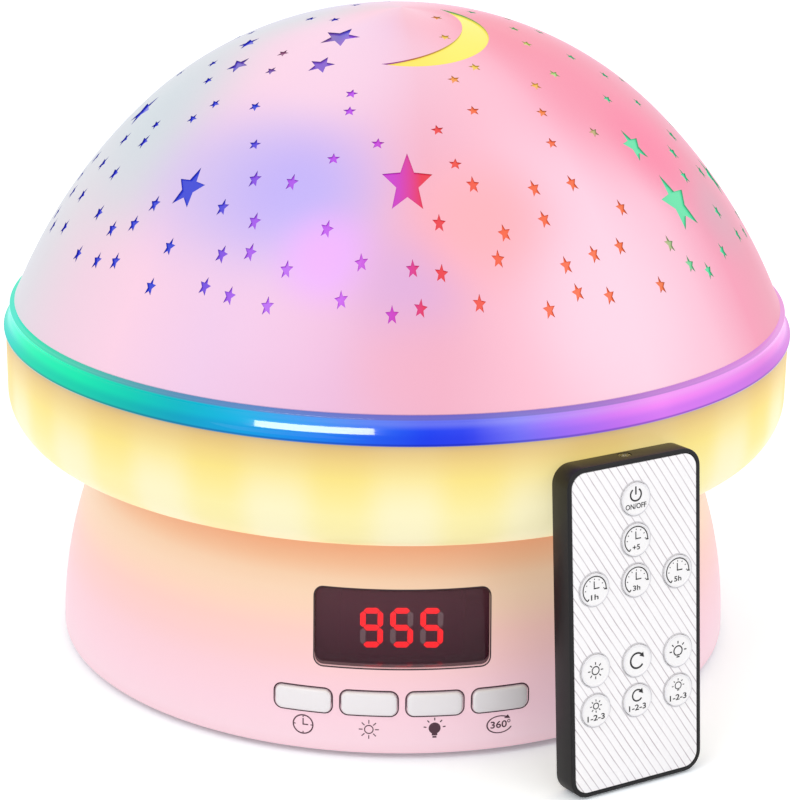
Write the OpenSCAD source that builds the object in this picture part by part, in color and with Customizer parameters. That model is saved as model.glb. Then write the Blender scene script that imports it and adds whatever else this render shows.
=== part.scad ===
// Rotating star night light with a timer display and a card remote.
// Millimetres, +Z up, front towards -Y. The origin is the centre of the foot ring's resting face.

/* [Base housing] */
// Outer radius of the base wall at its lower edge
base_r = 86.8; // [85:0.2:90]
// Radius of the curve that the base wall follows up to its shoulder
base_curve_r = 112.6; // [108:0.2:125]
// Height of the base wall from its lower edge to its shoulder
base_h = 54; // [52:0.5:58]
// Thickness of the base wall
base_wall = 2.4; // [1.8:0.1:3]
// Width of the flat shoulder that carries the frame and the diffuser
shoulder_w = 14; // [13:0.5:17]
// Thickness of the shoulder
shoulder_t = 2.4; // [2:0.1:3]
// Distance from the base wall's upper edge in to the centres of the four screw columns
column_inset = 9; // [8:0.5:11]
// Radius of a screw column
column_r = 4; // [3.5:0.1:4.5]

/* [Foot and bottom cover] */
// Height by which the foot ring holds the base off the table
foot_h = 1.5; // [1:0.1:2.5]
// Distance from the base wall's lower edge in to the foot ring
foot_inset = 7.8; // [6:0.2:9]
// Width of the foot ring
foot_w = 7; // [5:0.5:8]
// Depth of the groove that the foot ring is glued in
foot_groove = 0.8; // [0.5:0.1:1.2]
// Thickness of the bottom cover
cover_t = 2.4; // [2.2:0.1:3]
// Thickness of the battery door
door_t = 1.7; // [1.4:0.1:1.9]
// Width of the ledge that the battery door closes against
door_ledge = 1.4; // [1:0.1:2]

/* [Battery bay] */
// Number of cells side by side
cell_count = 4; // [2:1:4]
// Diameter of one cell
cell_d = 14.2; // [13.8:0.1:14.5]
// Length of one cell with its cap
cell_l = 50.4; // [49:0.1:51]
// Distance between cell centres
cell_pitch = 15; // [14.8:0.1:15.6]
// Room for a contact at each end of a cell
contact_room = 3.6; // [3:0.1:5]
// Wall of the battery bay
bay_wall = 1.6; // [1.2:0.1:2.2]

/* [Diffuser and light ring] */
// Outer radius of the diffuser
diffuser_r = 99.5; // [97:0.5:103]
// Height of the diffuser
diffuser_h = 27.5; // [26:0.5:31]
// Radius of the diffuser's rounded lower edge
diffuser_round = 12; // [8:0.5:16]
// Wall of the diffuser
diffuser_wall = 2; // [1.4:0.1:2.6]
// Step from the diffuser out to the light ring's lower lip
ring_proud = 0.5; // [0.3:0.1:2]
// Amount by which the light ring narrows from its lower lip to its upper lip
ring_taper = 1.6; // [0.8:0.1:2]
// Width of the light ring from its lower lip to its bore
ring_w = 6; // [5:0.1:6.6]
// Height of the light ring
ring_h = 6; // [5:0.1:8]
// Height of each lip of the light ring
ring_lip = 0.6; // [0.4:0.1:1]
// Depth of the hollow band between the lips
ring_hollow = 0.8; // [0.3:0.1:1.4]

/* [Inner frame] */
// Distance from the base wall's upper edge in to the frame drum
drum_inset = 3; // [2.5:0.1:5]
// Wall of the frame drum
drum_wall = 2; // [1.5:0.1:2.5]
// Thickness of the rim that carries the light ring
rim_t = 2.4; // [1.8:0.1:3]
// Depth of the deck's underside below the light ring
deck_drop = 7; // [6.5:0.1:9]
// Thickness of the deck
deck_t = 2; // [1.6:0.1:2.4]
// Outer radius of the centre post that the turntable runs on
post_r = 24; // [22:0.1:25]
// Wall of the centre post
post_wall = 2.6; // [2.2:0.1:3.2]
// Height of the post above the turntable
post_rise = 4.6; // [4:0.1:12]

/* [Turntable and drive] */
// Thickness of the turntable plate
plate_t = 2; // [1.6:0.1:2.4]
// Radial clearance of the turntable plate inside the light ring
plate_gap = 0.5; // [0.3:0.1:0.8]
// Running gap between the light ring and the dome above it
dome_gap = 0.4; // [0.3:0.1:1]
// Radial running clearance of the turntable hub on the post
hub_gap = 0.08; // [0.03:0.01:0.1]
// Wall of the turntable hub
hub_wall = 4; // [2.5:0.1:4.5]
// Thickness of the thrust washer
washer_t = 1.5; // [1:0.1:2]
// Gear module, the pitch diameter for each tooth
gear_m = 1; // [0.95:0.05:1]
// Teeth of the ring gear under the turntable
ring_teeth = 96; // [92:4:96]
// Teeth of the drive pinion
pinion_teeth = 16; // [16:4:20]
// Height of the gear teeth
gear_face = 6; // [4:0.1:6.4]
// Play between meshed teeth
backlash = 0.24; // [0.2:0.01:0.4]
// Radius of the motor shaft
shaft_r = 1.5; // [1.2:0.1:2]
// Radius of the motor's gearbox
gearbox_r = 13; // [11:0.5:15]
// Height of the motor's gearbox
gearbox_h = 12; // [10:0.5:14]
// Radius of the motor can
motor_r = 10; // [8:0.5:11]
// Height of the motor can
motor_h = 18; // [14:0.5:20]

/* [Star dome] */
// Radius of the dome's crown
crown_r = 94; // [90:0.5:98]
// Angle from the pole at which the crown passes into the flank
crown_angle = 44; // [40:0.5:48]
// Radius of the curve that the dome's flank follows
flank_r = 140; // [132:0.5:150]
// Step from the light ring's upper lip in to the dome's lower edge
dome_step = 1.2; // [0.4:0.1:2]
// Wall of the dome
dome_wall = 2; // [1.4:0.1:2.6]
// Width of the lip inside the dome's lower edge
dome_lip_w = 6.4; // [5.5:0.1:8]
// Thickness of the clear liner behind the star windows
liner_t = 1; // [0.8:0.1:1.4]
// Gap between the dome and its liner
liner_gap = 0.2; // [0.1:0.05:0.3]
// Tip radius of the small star windows
star_small = 1.6; // [1.2:0.1:1.8]
// Length of a small star on the flank, as a multiple of its width
star_stretch = 1.5; // [1:0.05:1.6]
// Tip radius of the largest star window, which the other single stars follow
star_large = 6; // [5:0.1:6.4]
// Inner radius of a star as a share of its tip radius
star_waist = 0.44; // [0.38:0.01:0.5]
// Distance between star windows along a row of the crown
star_pitch = 17; // [16:0.5:26]
// Distance between star windows along the two dense rows above the lower edge
star_dense = 11.5; // [11:0.5:20]
// Outer radius of the crescent window
moon_r = 19.6; // [17:0.2:21]

/* [Display and keys] */
// Width of the display lens
display_w = 41; // [38:0.5:42]
// Height of the display lens
display_h = 17.6; // [16.5:0.1:18.5]
// Height of the display's centre above the table
display_z = 31.4; // [31:0.1:33]
// Distance of the digits' centre below the lens's centre, as the lamp is read from above
module_drop = 2.9; // [0:0.1:3]
// Height of a digit
digit_h = 10; // [8:0.1:10.4]
// Width of a digit
digit_w = 5.4; // [4.5:0.1:5.5]
// Distance between digit centres
digit_pitch = 7.1; // [6.6:0.1:7.5]
// Width of a lamp key
key_w = 13; // [12:0.1:14]
// Height of a lamp key
key_h = 5.4; // [5:0.1:6.6]
// Distance between lamp key centres
key_pitch = 15.4; // [15.2:0.1:16]
// Height of the lamp keys' centre above the table
key_z = 14.2; // [13.6:0.1:14.6]
// Height by which a lamp key stands out of the wall
key_proud = 0.9; // [0.8:0.1:1.2]
// Travel of a lamp key
key_travel = 0.8; // [0.5:0.1:0.8]
// Distance from the base wall's outside, at the display's height, in to the front circuit board's back
board_inset = 18.8; // [18.6:0.1:20.8]
// Width of the front circuit board
board_w = 68; // [64:0.5:68]

/* [Remote] */
// Width of the remote
remote_w = 36; // [35:0.5:38]
// Length of the remote
remote_l = 78; // [77:0.5:86]
// Thickness of the remote
remote_t = 6.8; // [6.8:0.1:8]
// Corner radius of the remote
remote_round = 4.5; // [3.5:0.1:6]
// Wall of the remote's shell
remote_wall = 1; // [0.8:0.1:1.2]
// Thickness of the remote's face plate
face_t = 1.2; // [1:0.1:1.3]
// Radius of a remote key
pad_r = 3.8; // [3.4:0.1:3.9]
// Height by which a remote key stands out of the face
pad_proud = 0.5; // [0.5:0.1:0.8]
// Travel of a remote key
pad_travel = 0.4; // [0.3:0.05:0.45]
// Distance between the remote's key columns
pad_pitch_x = 11.4; // [10.4:0.1:11.8]
// Distance between neighbouring rows of remote keys
pad_pitch_y = 9.6; // [9.4:0.05:9.8]
// Distance from the remote's upper end to the centre of its top key
pad_end_gap = 9.3; // [8.8:0.1:10.5]
// Thickness of the coin cell
coin_t = 2.5; // [2:0.1:2.5]
// Radius of the coin cell
coin_r = 10; // [9:0.1:10]
// Angle of the remote round the lamp's axis from the front
remote_turn = 28.5; // [20:0.5:40]
// Angle at which the remote leans back against the diffuser
remote_lean = 5; // [3:0.5:12]

/* [Hidden] */
fit = 0.2; // clearance round a moving or drop-in piece
seat = 0.1; // clearance between faces that meet across a moving part
round_fn = 96;
small_fn = 32;
wall_steps = 9; // straight steps along the base wall's curve
edge_steps = 6; // straight steps along the diffuser's rounded edge
band_steps = 6; // straight steps along the light ring's hollow
crown_rows = 7;
flank_rows = 6;

// radii that follow from the base wall and the diffuser
base_top_r = wall_at(base_h, 0);
foot_r = base_r - foot_inset;
column_pitch_r = base_top_r - column_inset;
drum_r = base_top_r - drum_inset;
ring_r = diffuser_r + ring_proud;
ring_top_r = ring_r - ring_taper;
ring_in_r = ring_r - ring_w;
dome_edge_r = ring_top_r - dome_step;

// heights, from the table up
base_top = foot_h + base_h;
cover_top = foot_h + cover_t;
ring_z = base_top + diffuser_h;
ring_top = ring_z + ring_h;
dome_z = ring_top + dome_gap;
plate_z = dome_z - plate_t;
deck_z = ring_z - deck_drop;
deck_top = deck_z + deck_t;
post_top = dome_z + post_rise;
hub_z = deck_top + washer_t + seat;
gear_z = plate_z - gear_face - fit;

// dome curve: a crown arc centred on the axis and a flank arc tangent to it
flank_x = (crown_r - flank_r) * sin(crown_angle);
edge_angle = asin((dome_edge_r - flank_x) / flank_r);
flank_z = -flank_r * cos(edge_angle);
crown_z = flank_z - (crown_r - flank_r) * cos(crown_angle);
lip_t = 2; // thickness of the lip inside the dome's lower edge

// gears
ring_pitch_r = gear_m * ring_teeth / 2;
pinion_pitch_r = gear_m * pinion_teeth / 2;
gear_centre = ring_pitch_r - pinion_pitch_r;
addendum = 0.9 * gear_m;
dedendum = 1.2 * gear_m;
gear_rim = 3.2;
hub_bore_r = post_r + hub_gap;
hub_r = hub_bore_r + hub_wall;
clip_t = 1.2;
clip_groove = 1.2;
plate_r = ring_in_r - plate_gap;
rim_r = diffuser_r - diffuser_wall - fit;
dome_screw_r = (dome_edge_r - dome_wall - dome_lip_w + plate_r) / 2;
dome_screw_head_r = 1.8;

// battery bay
bay_x = (cell_count - 1) * cell_pitch / 2 + cell_d / 2 + 1;
bay_y = cell_l / 2 + contact_room;
cell_z = foot_h + door_t + 0.4 + cell_d / 2;
bay_top = cell_z + cell_d / 2 + 0.3;
contact_t = 0.4;
contact_w = 11;

// front controls
board_t = 1.6;
board_y = wall_at(display_z - foot_h, 0) - board_inset;
board_front = board_y + board_t;
board_z0 = cover_top + 3;
board_z1 = base_top - 10.5;
lens_t = 1.2;
lens_sunk = 0.3;
flange_w = 1.1;
switch_depth = 3.8;
switch_w = 6;
stem_r = 1.6;
stem_bite = 0.5;
module_t = 8.8;
module_front = board_front + module_t;
module_z = display_z - module_drop;
module_w = 29;
module_h = 14.6;
segment_t = 1.25;

// power inlet, a flat reversible socket, and its board
port_w = 8.94;
port_h = 3.26;
port_l = 7.4;
port_z = 14;
power_board_w = 22;
power_board_l = 23.5;
power_board_y = wall_at(port_z, base_wall) - 2 - power_board_l;

// remote, in its own frame: x across, y up its length, z out of its back
shell_floor = 1;
tray_z = shell_floor + 0.05;
tray_t = coin_t + 0.3;
tray_w = 2 * coin_r + 2.4;
tray_l = 2 * coin_r + 2;
pad_board_z = tray_z + tray_t + seat;
pad_board_t = 0.5;
face_z = remote_t - face_t;
pad_flange_t = 0.45;
pad_rows = [5, 4, 2, 1, 0]; // steps down from the top key, for each row from the lowest up
remote_reach = remote_l * cos(remote_lean);
remote_foot = diffuser_r + 0.3 + min(remote_reach, ring_z) * tan(remote_lean);

function back(v) = [for (i = [len(v) - 1:-1:0]) v[i]];
function rounded(w, h, r, n = 5) = [for (q = [0:3], i = [0:n])
  let (a = 90 * q + 90 * i / n, sx = (q == 0 || q == 3) ? 1 : -1, sy = q < 2 ? 1 : -1)
  [sx * (w / 2 - r) + r * cos(a), sy * (h / 2 - r) + r * sin(a)]];

// base wall: radius at a height above its lower edge, moved inwards by off
function wall_at(z, off) = base_r - base_curve_r + sqrt(pow(base_curve_r - off, 2) - z * z);
function wall_line(off, top) = [for (i = [0:wall_steps]) let (z = top * i / wall_steps) [wall_at(z, off), z]];

// dome curve: radius and height over the lower edge for a normal that leans a degrees from the axis
function dome_at(a, off) = a <= crown_angle
  ? [(crown_r - off) * sin(a), crown_z + (crown_r - off) * cos(a)]
  : [flank_x + (flank_r - off) * sin(a), flank_z + (flank_r - off) * cos(a)];
function dome_line(off) = concat(
  [for (i = [0:crown_rows]) dome_at(crown_angle * i / crown_rows, off)],
  [for (i = [1:flank_rows - 1]) dome_at(row_angle(crown_rows + i - 0.5), off)],
  [dome_at(acos(-flank_z / (flank_r - off)), off)]);
function row_angle(k) = k < crown_rows
  ? crown_angle * (k + 0.5) / crown_rows
  : crown_angle + (edge_angle - crown_angle) * (k - crown_rows + 0.5) / flank_rows;

// star windows: one row for each band of the dome, the last two bands left plain
dense_row = crown_rows + 2;
star_rows = [for (k = [1:crown_rows + 3]) k];
function row_count(k) =
  floor(2 * PI * dome_at(row_angle(k), 0)[0] / (k < dense_row ? star_pitch : star_dense));
function spot(a, b) = let (p = dome_at(a, 0)) [p[0] * cos(b), p[0] * sin(b), p[1]];

// single stars: normal angle, azimuth from the front towards +X, share of the largest star's size
single_stars = [
  [45, 0, 1], [48, -44, 0.72], [51, 58, 1], [44, 57, 0.62], [16, -36, 0.85], [24, -31, 0.58], [28, -64, 0.55],
  [24, -80, 0.5], [43, -84, 0.66], [52, 85, 0.75], [33, 112, 0.6], [50, 128, 0.9], [22, 150, 0.55],
  [44, 172, 1], [30, -165, 0.6], [51, -142, 0.8], [20, -120, 0.5], [40, -112, 0.6]];

// crescent: its centre, and the way it bulges
moon_a = 11;
moon_b = -86.5;
moon_out = 64;
moon_inner_r = 1.14 * moon_r;
moon_shift = moon_r / 2;
star_clear = 2.6; // web left between two windows
function flat(a, b) = [spot(a, b)[0], spot(a, b)[1]];
function off_moon(p) = norm(p - flat(moon_a, moon_b)) > moon_r + star_clear
  || norm(p - flat(moon_a, moon_b) + moon_shift * [cos(moon_b + moon_out), sin(moon_b + moon_out)])
    < moon_inner_r - star_clear;
function off_singles(p) = min([for (s = single_stars)
  norm(p - spot(s[0], s[1] - 90)) - (star_stretch * s[2] * star_large + star_clear)]) > 0;

module revolve(points) { rotate_extrude($fn = round_fn) polygon(points); }

// a prism that runs through the front wall
module front_cut(w, h, r, x, z) {
  translate([x, -board_y + 10, z]) rotate([90, 0, 0]) linear_extrude(base_r) polygon(rounded(w, h, r));
}

// the part of the base wall between two depths under its outer face
module wall_layer(from, to) {
  translate([0, 0, foot_h]) revolve(concat(wall_line(from, base_h), back(wall_line(to, base_h))));
}

module at_corners(r) { for (a = [45:90:315]) rotate([0, 0, a]) translate([r, 0, 0]) children(); }
module at_thirds(r) { for (a = [30:120:270]) rotate([0, 0, a]) translate([r, 0, 0]) children(); }

// Foot, cover and battery bay

module foot_ring() {
  color("dimgray") revolve([
    [foot_r - foot_w + 0.6, 0], [foot_r - 0.6, 0], [foot_r, 0.6], [foot_r, foot_h + foot_groove - seat],
    [foot_r - foot_w, foot_h + foot_groove - seat], [foot_r - foot_w, 0.6]]);
}

module bottom_cover() {
  color("pink") difference() {
    union() {
      translate([0, 0, foot_h]) cylinder(r = base_r - base_wall - fit, h = cover_t, $fn = round_fn);
      translate([-bay_x - bay_wall, -bay_y - bay_wall, foot_h + 0.5])
        cube([2 * (bay_x + bay_wall), 2 * (bay_y + bay_wall), bay_top + bay_wall - foot_h - 0.5]);
      for (s = [-1, 1], y = [4, power_board_l - 5.5])
        translate([s * (power_board_w / 2 - 4), power_board_y + y, foot_h + 0.5])
          cylinder(r = 2.4, h = port_z - port_h / 2 - board_t - foot_h - 0.5, $fn = small_fn);
    }
    translate([-bay_x, -bay_y, foot_h - 1]) cube([2 * bay_x, 2 * bay_y, bay_top - foot_h + 1]);
    translate([-bay_x - door_ledge, -bay_y - door_ledge, foot_h - 1])
      cube([2 * (bay_x + door_ledge), 2 * (bay_y + door_ledge), door_t + seat + 1]);
    translate([0, 0, foot_h - 1]) difference() {
      cylinder(r = foot_r + seat, h = foot_groove + 1, $fn = round_fn);
      translate([0, 0, -1]) cylinder(r = foot_r - foot_w - seat, h = foot_groove + 3, $fn = round_fn);
    }
    at_corners(column_pitch_r) {
      translate([0, 0, foot_h - 1]) cylinder(r = 1.7, h = cover_t + 2, $fn = small_fn);
      translate([0, 0, foot_h - 1]) cylinder(r = 3, h = 2.3, $fn = small_fn);
    }
  }
}

module battery_door() {
  w = 2 * (bay_x + door_ledge - fit);
  l = 2 * (bay_y + door_ledge - fit);
  color("pink") difference() {
    union() {
      translate([0, 0, foot_h]) linear_extrude(door_t) polygon(rounded(w, l, 1));
      // spring tongue inside the front wall of the bay, below the contacts
      translate([-5, -bay_y + 0.3, foot_h + door_t - 0.5])
        cube([10, 0.8, cell_z - contact_w / 2 - foot_h - door_t + 0.2]);
    }
    // finger hollow and grip grooves
    translate([0, -l / 2 + 6, foot_h - 5.2]) sphere(r = 6, $fn = small_fn);
    for (i = [0:3]) translate([-9, -l / 2 + 13 + 2.4 * i, foot_h - 1]) cube([18, 1, 1.5]);
  }
}

module cell_places() {
  for (i = [0:cell_count - 1]) translate([(i - (cell_count - 1) / 2) * cell_pitch, 0, cell_z])
    rotate([0, 0, i % 2 == 0 ? 0 : 180]) rotate([-90, 0, 0]) children();
}

module aa_cells() {
  cap_h = 1.2;
  color("goldenrod") cell_places() rotate_extrude($fn = small_fn) polygon([
    [0, -cell_l / 2], [cell_d / 2 - 0.6, -cell_l / 2], [cell_d / 2, -cell_l / 2 + 0.6],
    [cell_d / 2, cell_l / 2 - cap_h - 0.6], [cell_d / 2 - 0.6, cell_l / 2 - cap_h],
    [2.7, cell_l / 2 - cap_h], [2.7, cell_l / 2], [0, cell_l / 2]]);
}

module battery_contacts() {
  reach = contact_room - contact_t;
  color("silver") cell_places() {
    for (end = [-1, 1]) translate([-contact_w / 2, -contact_w / 2, end > 0 ? bay_y - contact_t : -bay_y])
      cube([contact_w, contact_w, contact_t]);
    // button on the cap's side
    translate([0, 0, cell_l / 2 + 0.1]) cylinder(r = 2, h = reach, $fn = small_fn);
    // coil on the flat side, three turns that narrow towards the cell
    for (i = [0:2]) translate([0, 0, -bay_y + contact_t + 0.4 + 1.08 * i])
      rotate_extrude($fn = small_fn) translate([4.4 - 0.8 * i, 0]) circle(r = 0.56, $fn = 16);
    translate([0, 0, -bay_y + contact_t - 0.1]) cylinder(r = 3.2, h = 2.4, $fn = small_fn);
  }
}

module cover_screws() {
  color("silver") at_corners(column_pitch_r) {
    translate([0, 0, foot_h + 0.1]) cylinder(r1 = 2.2, r2 = 2.7, h = 1.2, $fn = small_fn);
    translate([0, 0, foot_h + 1.2]) cylinder(r = 1.25, h = 10, $fn = small_fn);
  }
}

// Base housing

module base_housing() {
  rail_w = 4;
  color("lightpink") difference() {
    union() {
      translate([0, 0, foot_h]) revolve(concat(
        wall_line(0, base_h),
        [[base_top_r - shoulder_w, base_h], [base_top_r - shoulder_w, base_h - shoulder_t]],
        back(wall_line(base_wall, base_h - shoulder_t))));
      at_corners(column_pitch_r) translate([0, 0, cover_top])
        cylinder(r = column_r, h = base_top - cover_top - 1, $fn = small_fn);
      at_thirds(column_pitch_r) translate([0, 0, base_top - 8]) cylinder(r = 3.2, h = 7, $fn = small_fn);
      // rails that hold the front circuit board
      intersection() {
        for (s = [-1, 1]) translate([s * (board_w / 2 + 0.6) - rail_w / 2, -board_front - 2.4, board_z0 - 2])
          cube([rail_w, board_t + 4.8, base_top - board_z0 + 1]);
        translate([0, 0, foot_h]) revolve(concat([[0, 0]], wall_line(1, base_h), [[0, base_h]]));
      }
    }
    translate([-board_w / 2 - seat, -board_front - seat, board_z0 - 0.4])
      cube([board_w + 2 * seat, board_t + 2 * seat, board_z1 - board_z0 + 0.6]);
    front_cut(display_w, display_h, 2, 0, display_z);
    for (i = [0:3]) front_cut(key_w + 2 * fit, key_h + 2 * fit, 1.8, (i - 1.5) * key_pitch, key_z);
    translate([0, base_r - 10, port_z]) rotate([-90, 0, 0])
      linear_extrude(20) polygon(rounded(port_w + 2 * fit, port_h + 2 * fit, port_h / 2));
    at_corners(column_pitch_r) translate([0, 0, cover_top - 1]) cylinder(r = 1.35, h = 12, $fn = small_fn);
    at_thirds(column_pitch_r) translate([0, 0, base_top - 9]) cylinder(r = 1.15, h = 12, $fn = small_fn);
  }
}

module display_lens() {
  color("maroon") {
    intersection() {
      wall_layer(lens_sunk, base_wall + seat + 0.2);
      front_cut(display_w - 2 * seat, display_h - 2 * seat, 1.9, 0, display_z);
    }
    intersection() {
      wall_layer(base_wall + seat, base_wall + seat + lens_t);
      front_cut(display_w + 2 * flange_w, display_h + 2 * flange_w, 2.8, 0, display_z);
    }
  }
}

// one bar of a digit, lying along x, with pointed ends
module bar(l) {
  h = segment_t / 2;
  polygon([[-l / 2, 0], [-l / 2 + h, h], [l / 2 - h, h], [l / 2, 0], [l / 2 - h, -h], [-l / 2 + h, -h]]);
}

module digit() {
  l = digit_w - segment_t - 0.2;
  v = (digit_h - segment_t) / 2;
  for (j = [-1, 0, 1]) translate([0, j * v]) bar(l);
  for (s = [-1, 1], j = [-1, 1])
    translate([s * (digit_w - segment_t) / 2, j * v / 2]) rotate(90) bar(v - 0.2);
}

module display_module() {
  color("white") {
    translate([-module_w / 2, -module_front, module_z - module_h / 2])
      cube([module_w, module_front - board_front, module_h]);
    for (i = [-1, 0, 1]) translate([i * digit_pitch, -module_front + 0.1, module_z])
      rotate([90, 0, 0]) linear_extrude(0.5) digit();
  }
}

module front_board() {
  color("darkgreen") translate([-board_w / 2, -board_front, board_z0])
    cube([board_w, board_t, board_z1 - board_z0]);
}

module tact_switches() {
  color("dimgray") for (i = [0:3]) translate([(i - 1.5) * key_pitch, 0, key_z]) difference() {
    translate([-switch_w / 2, -board_front - switch_depth, -switch_w / 2])
      cube([switch_w, switch_depth, switch_w]);
    translate([0, -board_front - switch_depth - 1, 0]) rotate([-90, 0, 0])
      cylinder(r = stem_r + 0.15, h = 1 + stem_bite + key_travel + 0.4, $fn = small_fn);
  }
}

module ir_receiver() {
  color("black") translate([module_w / 2 + 3, -board_front - 3.4, display_z]) {
    translate([-2, 0, -3]) cube([4, 3.4, 6]);
    rotate([90, 0, 0]) cylinder(r = 1.8, h = 1.4, $fn = small_fn);
  }
}

// a lamp key: a cap that follows the wall's curve, a flange behind the wall and a stem to its switch
module lamp_key(i) {
  x = (i - 1.5) * key_pitch;
  top = board_front + switch_depth - stem_bite;
  color("white") {
    intersection() {
      wall_layer(-key_proud, base_wall + seat + 0.2);
      front_cut(key_w, key_h, 1.6, x, key_z);
    }
    intersection() {
      wall_layer(base_wall + seat, base_wall + seat + 1.2);
      front_cut(key_w + 2 * flange_w, key_h + 2 * flange_w, 2, x, key_z);
    }
    difference() {
      translate([x, -top, key_z]) rotate([90, 0, 0]) cylinder(r = stem_r, h = base_r - top, $fn = small_fn);
      translate([0, 0, foot_h]) revolve([
        [wall_at(base_h, base_wall + 1), base_h], [wall_at(0, base_wall + 0.7), 0],
        [base_r + 20, 0], [base_r + 20, base_h]]);
    }
  }
}
module timer_key() { lamp_key(0); }
module warm_key() { lamp_key(1); }
module colour_key() { lamp_key(2); }
module turn_key() { lamp_key(3); }

// Power inlet

module power_port() {
  y0 = wall_at(port_z - foot_h, 0.6) - port_l;
  color("silver") translate([0, y0, port_z]) rotate([-90, 0, 0]) {
    difference() {
      linear_extrude(port_l) polygon(rounded(port_w, port_h, port_h / 2 - 0.01));
      translate([0, 0, 1]) linear_extrude(port_l)
        polygon(rounded(port_w - 0.6, port_h - 0.6, port_h / 2 - 0.31));
    }
    translate([-3.35, -0.35, 0.5]) cube([6.7, 0.7, port_l - 1.5]);
  }
}

module power_board() {
  color("darkgreen") translate([-power_board_w / 2, power_board_y, port_z - port_h / 2 - board_t])
    cube([power_board_w, power_board_l, board_t]);
}

// Frame, diffuser and light ring

module inner_frame() {
  in_r = drum_r - drum_wall;
  color("whitesmoke") difference() {
    union() {
      revolve([
        [in_r, base_top], [drum_r, base_top], [drum_r, ring_z - rim_t], [rim_r, ring_z - rim_t],
        [rim_r, ring_z],
        [in_r, ring_z], [in_r, deck_top], [post_r, deck_top], [post_r, post_top], [0, post_top],
        [0, post_top - 2], [post_r - post_wall, post_top - 2], [post_r - post_wall, deck_z], [in_r, deck_z]]);
      // screw lugs inside the drum
      intersection() {
        at_thirds(column_pitch_r) translate([0, 0, base_top]) cylinder(r = 4.5, h = 2.4, $fn = small_fn);
        cylinder(r = in_r + 0.5, h = ring_z, $fn = round_fn);
      }
    }
    translate([0, 0, dome_z + 0.1]) difference() {
      cylinder(r = post_r + 1, h = clip_t + 0.1, $fn = round_fn);
      translate([0, 0, -1]) cylinder(r = post_r - clip_groove, h = clip_t + 3, $fn = round_fn);
    }
    translate([0, gear_centre, deck_z - 1]) cylinder(r = 3.5, h = deck_t + 2, $fn = small_fn);
    at_thirds(column_pitch_r) translate([0, 0, base_top - 1]) cylinder(r = 1.5, h = 5, $fn = small_fn);
  }
}

module frame_screws() {
  color("silver") at_thirds(column_pitch_r) {
    translate([0, 0, base_top + 2.4]) cylinder(r = 2.4, h = 1.5, $fn = small_fn);
    translate([0, 0, base_top - 6]) cylinder(r = 1.1, h = 8.6, $fn = small_fn);
  }
}

module diffuser() {
  function edge(r, c) = [for (i = [0:edge_steps]) let (a = 90 * i / edge_steps)
    [diffuser_r - diffuser_round + r * cos(a), c - r * sin(a)]];
  inner = diffuser_round - diffuser_wall;
  hole = drum_r + fit;
  color("khaki") translate([0, 0, base_top]) revolve(concat(
    [[diffuser_r, diffuser_h]], edge(diffuser_round, diffuser_round), [[hole, 0], [hole, diffuser_wall]],
    back(edge(inner, diffuser_round)), [[diffuser_r - diffuser_wall, diffuser_h]]));
}

module warm_led_strip() {
  strip_h = 8;
  strip_z = base_top + strip_h;
  led_count = 26;
  color("khaki") {
    difference() {
      translate([0, 0, strip_z]) cylinder(r = drum_r + 0.55, h = strip_h, $fn = round_fn);
      translate([0, 0, strip_z - 1]) cylinder(r = drum_r + 0.05, h = strip_h + 2, $fn = round_fn);
    }
    for (i = [0:led_count - 1]) rotate([0, 0, 360 * i / led_count])
      translate([drum_r + 0.3, -1.4, strip_z + 2.2]) cube([1.8, 2.8, 3.5]);
  }
}

module light_ring() {
  band = ring_h - 2 * ring_lip;
  color("deepskyblue") translate([0, 0, ring_z]) revolve(concat(
    [[ring_in_r, 0], [ring_r, 0]],
    [for (i = [0:band_steps]) let (t = i / band_steps)
      [ring_r - (ring_r - ring_top_r) * t - ring_hollow * (1 - pow(2 * t - 1, 4)), ring_lip + band * t]],
    [[ring_top_r, ring_h], [ring_in_r, ring_h]]));
}

module ring_led_board() {
  led_count = 30;
  board_out = ring_in_r - 1;
  color("white") {
    difference() {
      translate([0, 0, ring_z]) cylinder(r = board_out, h = 1.2, $fn = round_fn);
      translate([0, 0, ring_z - 1]) cylinder(r = board_out - 9, h = 4, $fn = round_fn);
    }
    for (i = [0:led_count - 1]) rotate([0, 0, 360 * i / led_count])
      translate([board_out - 2.4, -1.4, ring_z + 1]) cube([2.9, 2.8, 1.6]);
  }
}

// Drive

// one tooth, its flanks straight, centred on +x: half widths at its base, pitch circle and tip
function tooth_half(d) = PI * gear_m / 4 - backlash / 2 - d * tan(20);
function tooth(p, low, high) = [
  [p - low, tooth_half(-low)], [p, tooth_half(0)], [p + high, tooth_half(high)],
  [p + high, -tooth_half(high)], [p, -tooth_half(0)], [p - low, -tooth_half(-low)]];
function turned(p, a) = [p[0] * cos(a) - p[1] * sin(a), p[0] * sin(a) + p[1] * cos(a)];
// external gear outline, walked round backwards so that the points run in order
function pinion_line() = [for (i = [0:pinion_teeth - 1], j = [5:-1:0])
  turned(tooth(pinion_pitch_r, dedendum, addendum)[j], 360 * (i + 0.5) / pinion_teeth)];
// internal gear: its teeth point inwards, so a tooth's tip is at the smaller radius
function ring_tooth(d) = PI * gear_m / 4 - backlash / 2 + d * tan(20);
function ring_line() = [for (i = [0:ring_teeth - 1], q = [
    [dedendum, -1], [0, -1], [-addendum, -1], [-addendum, 1], [0, 1], [dedendum, 1]])
  turned([ring_pitch_r + q[0], q[1] * ring_tooth(q[0])], 360 * i / ring_teeth)];

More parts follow.
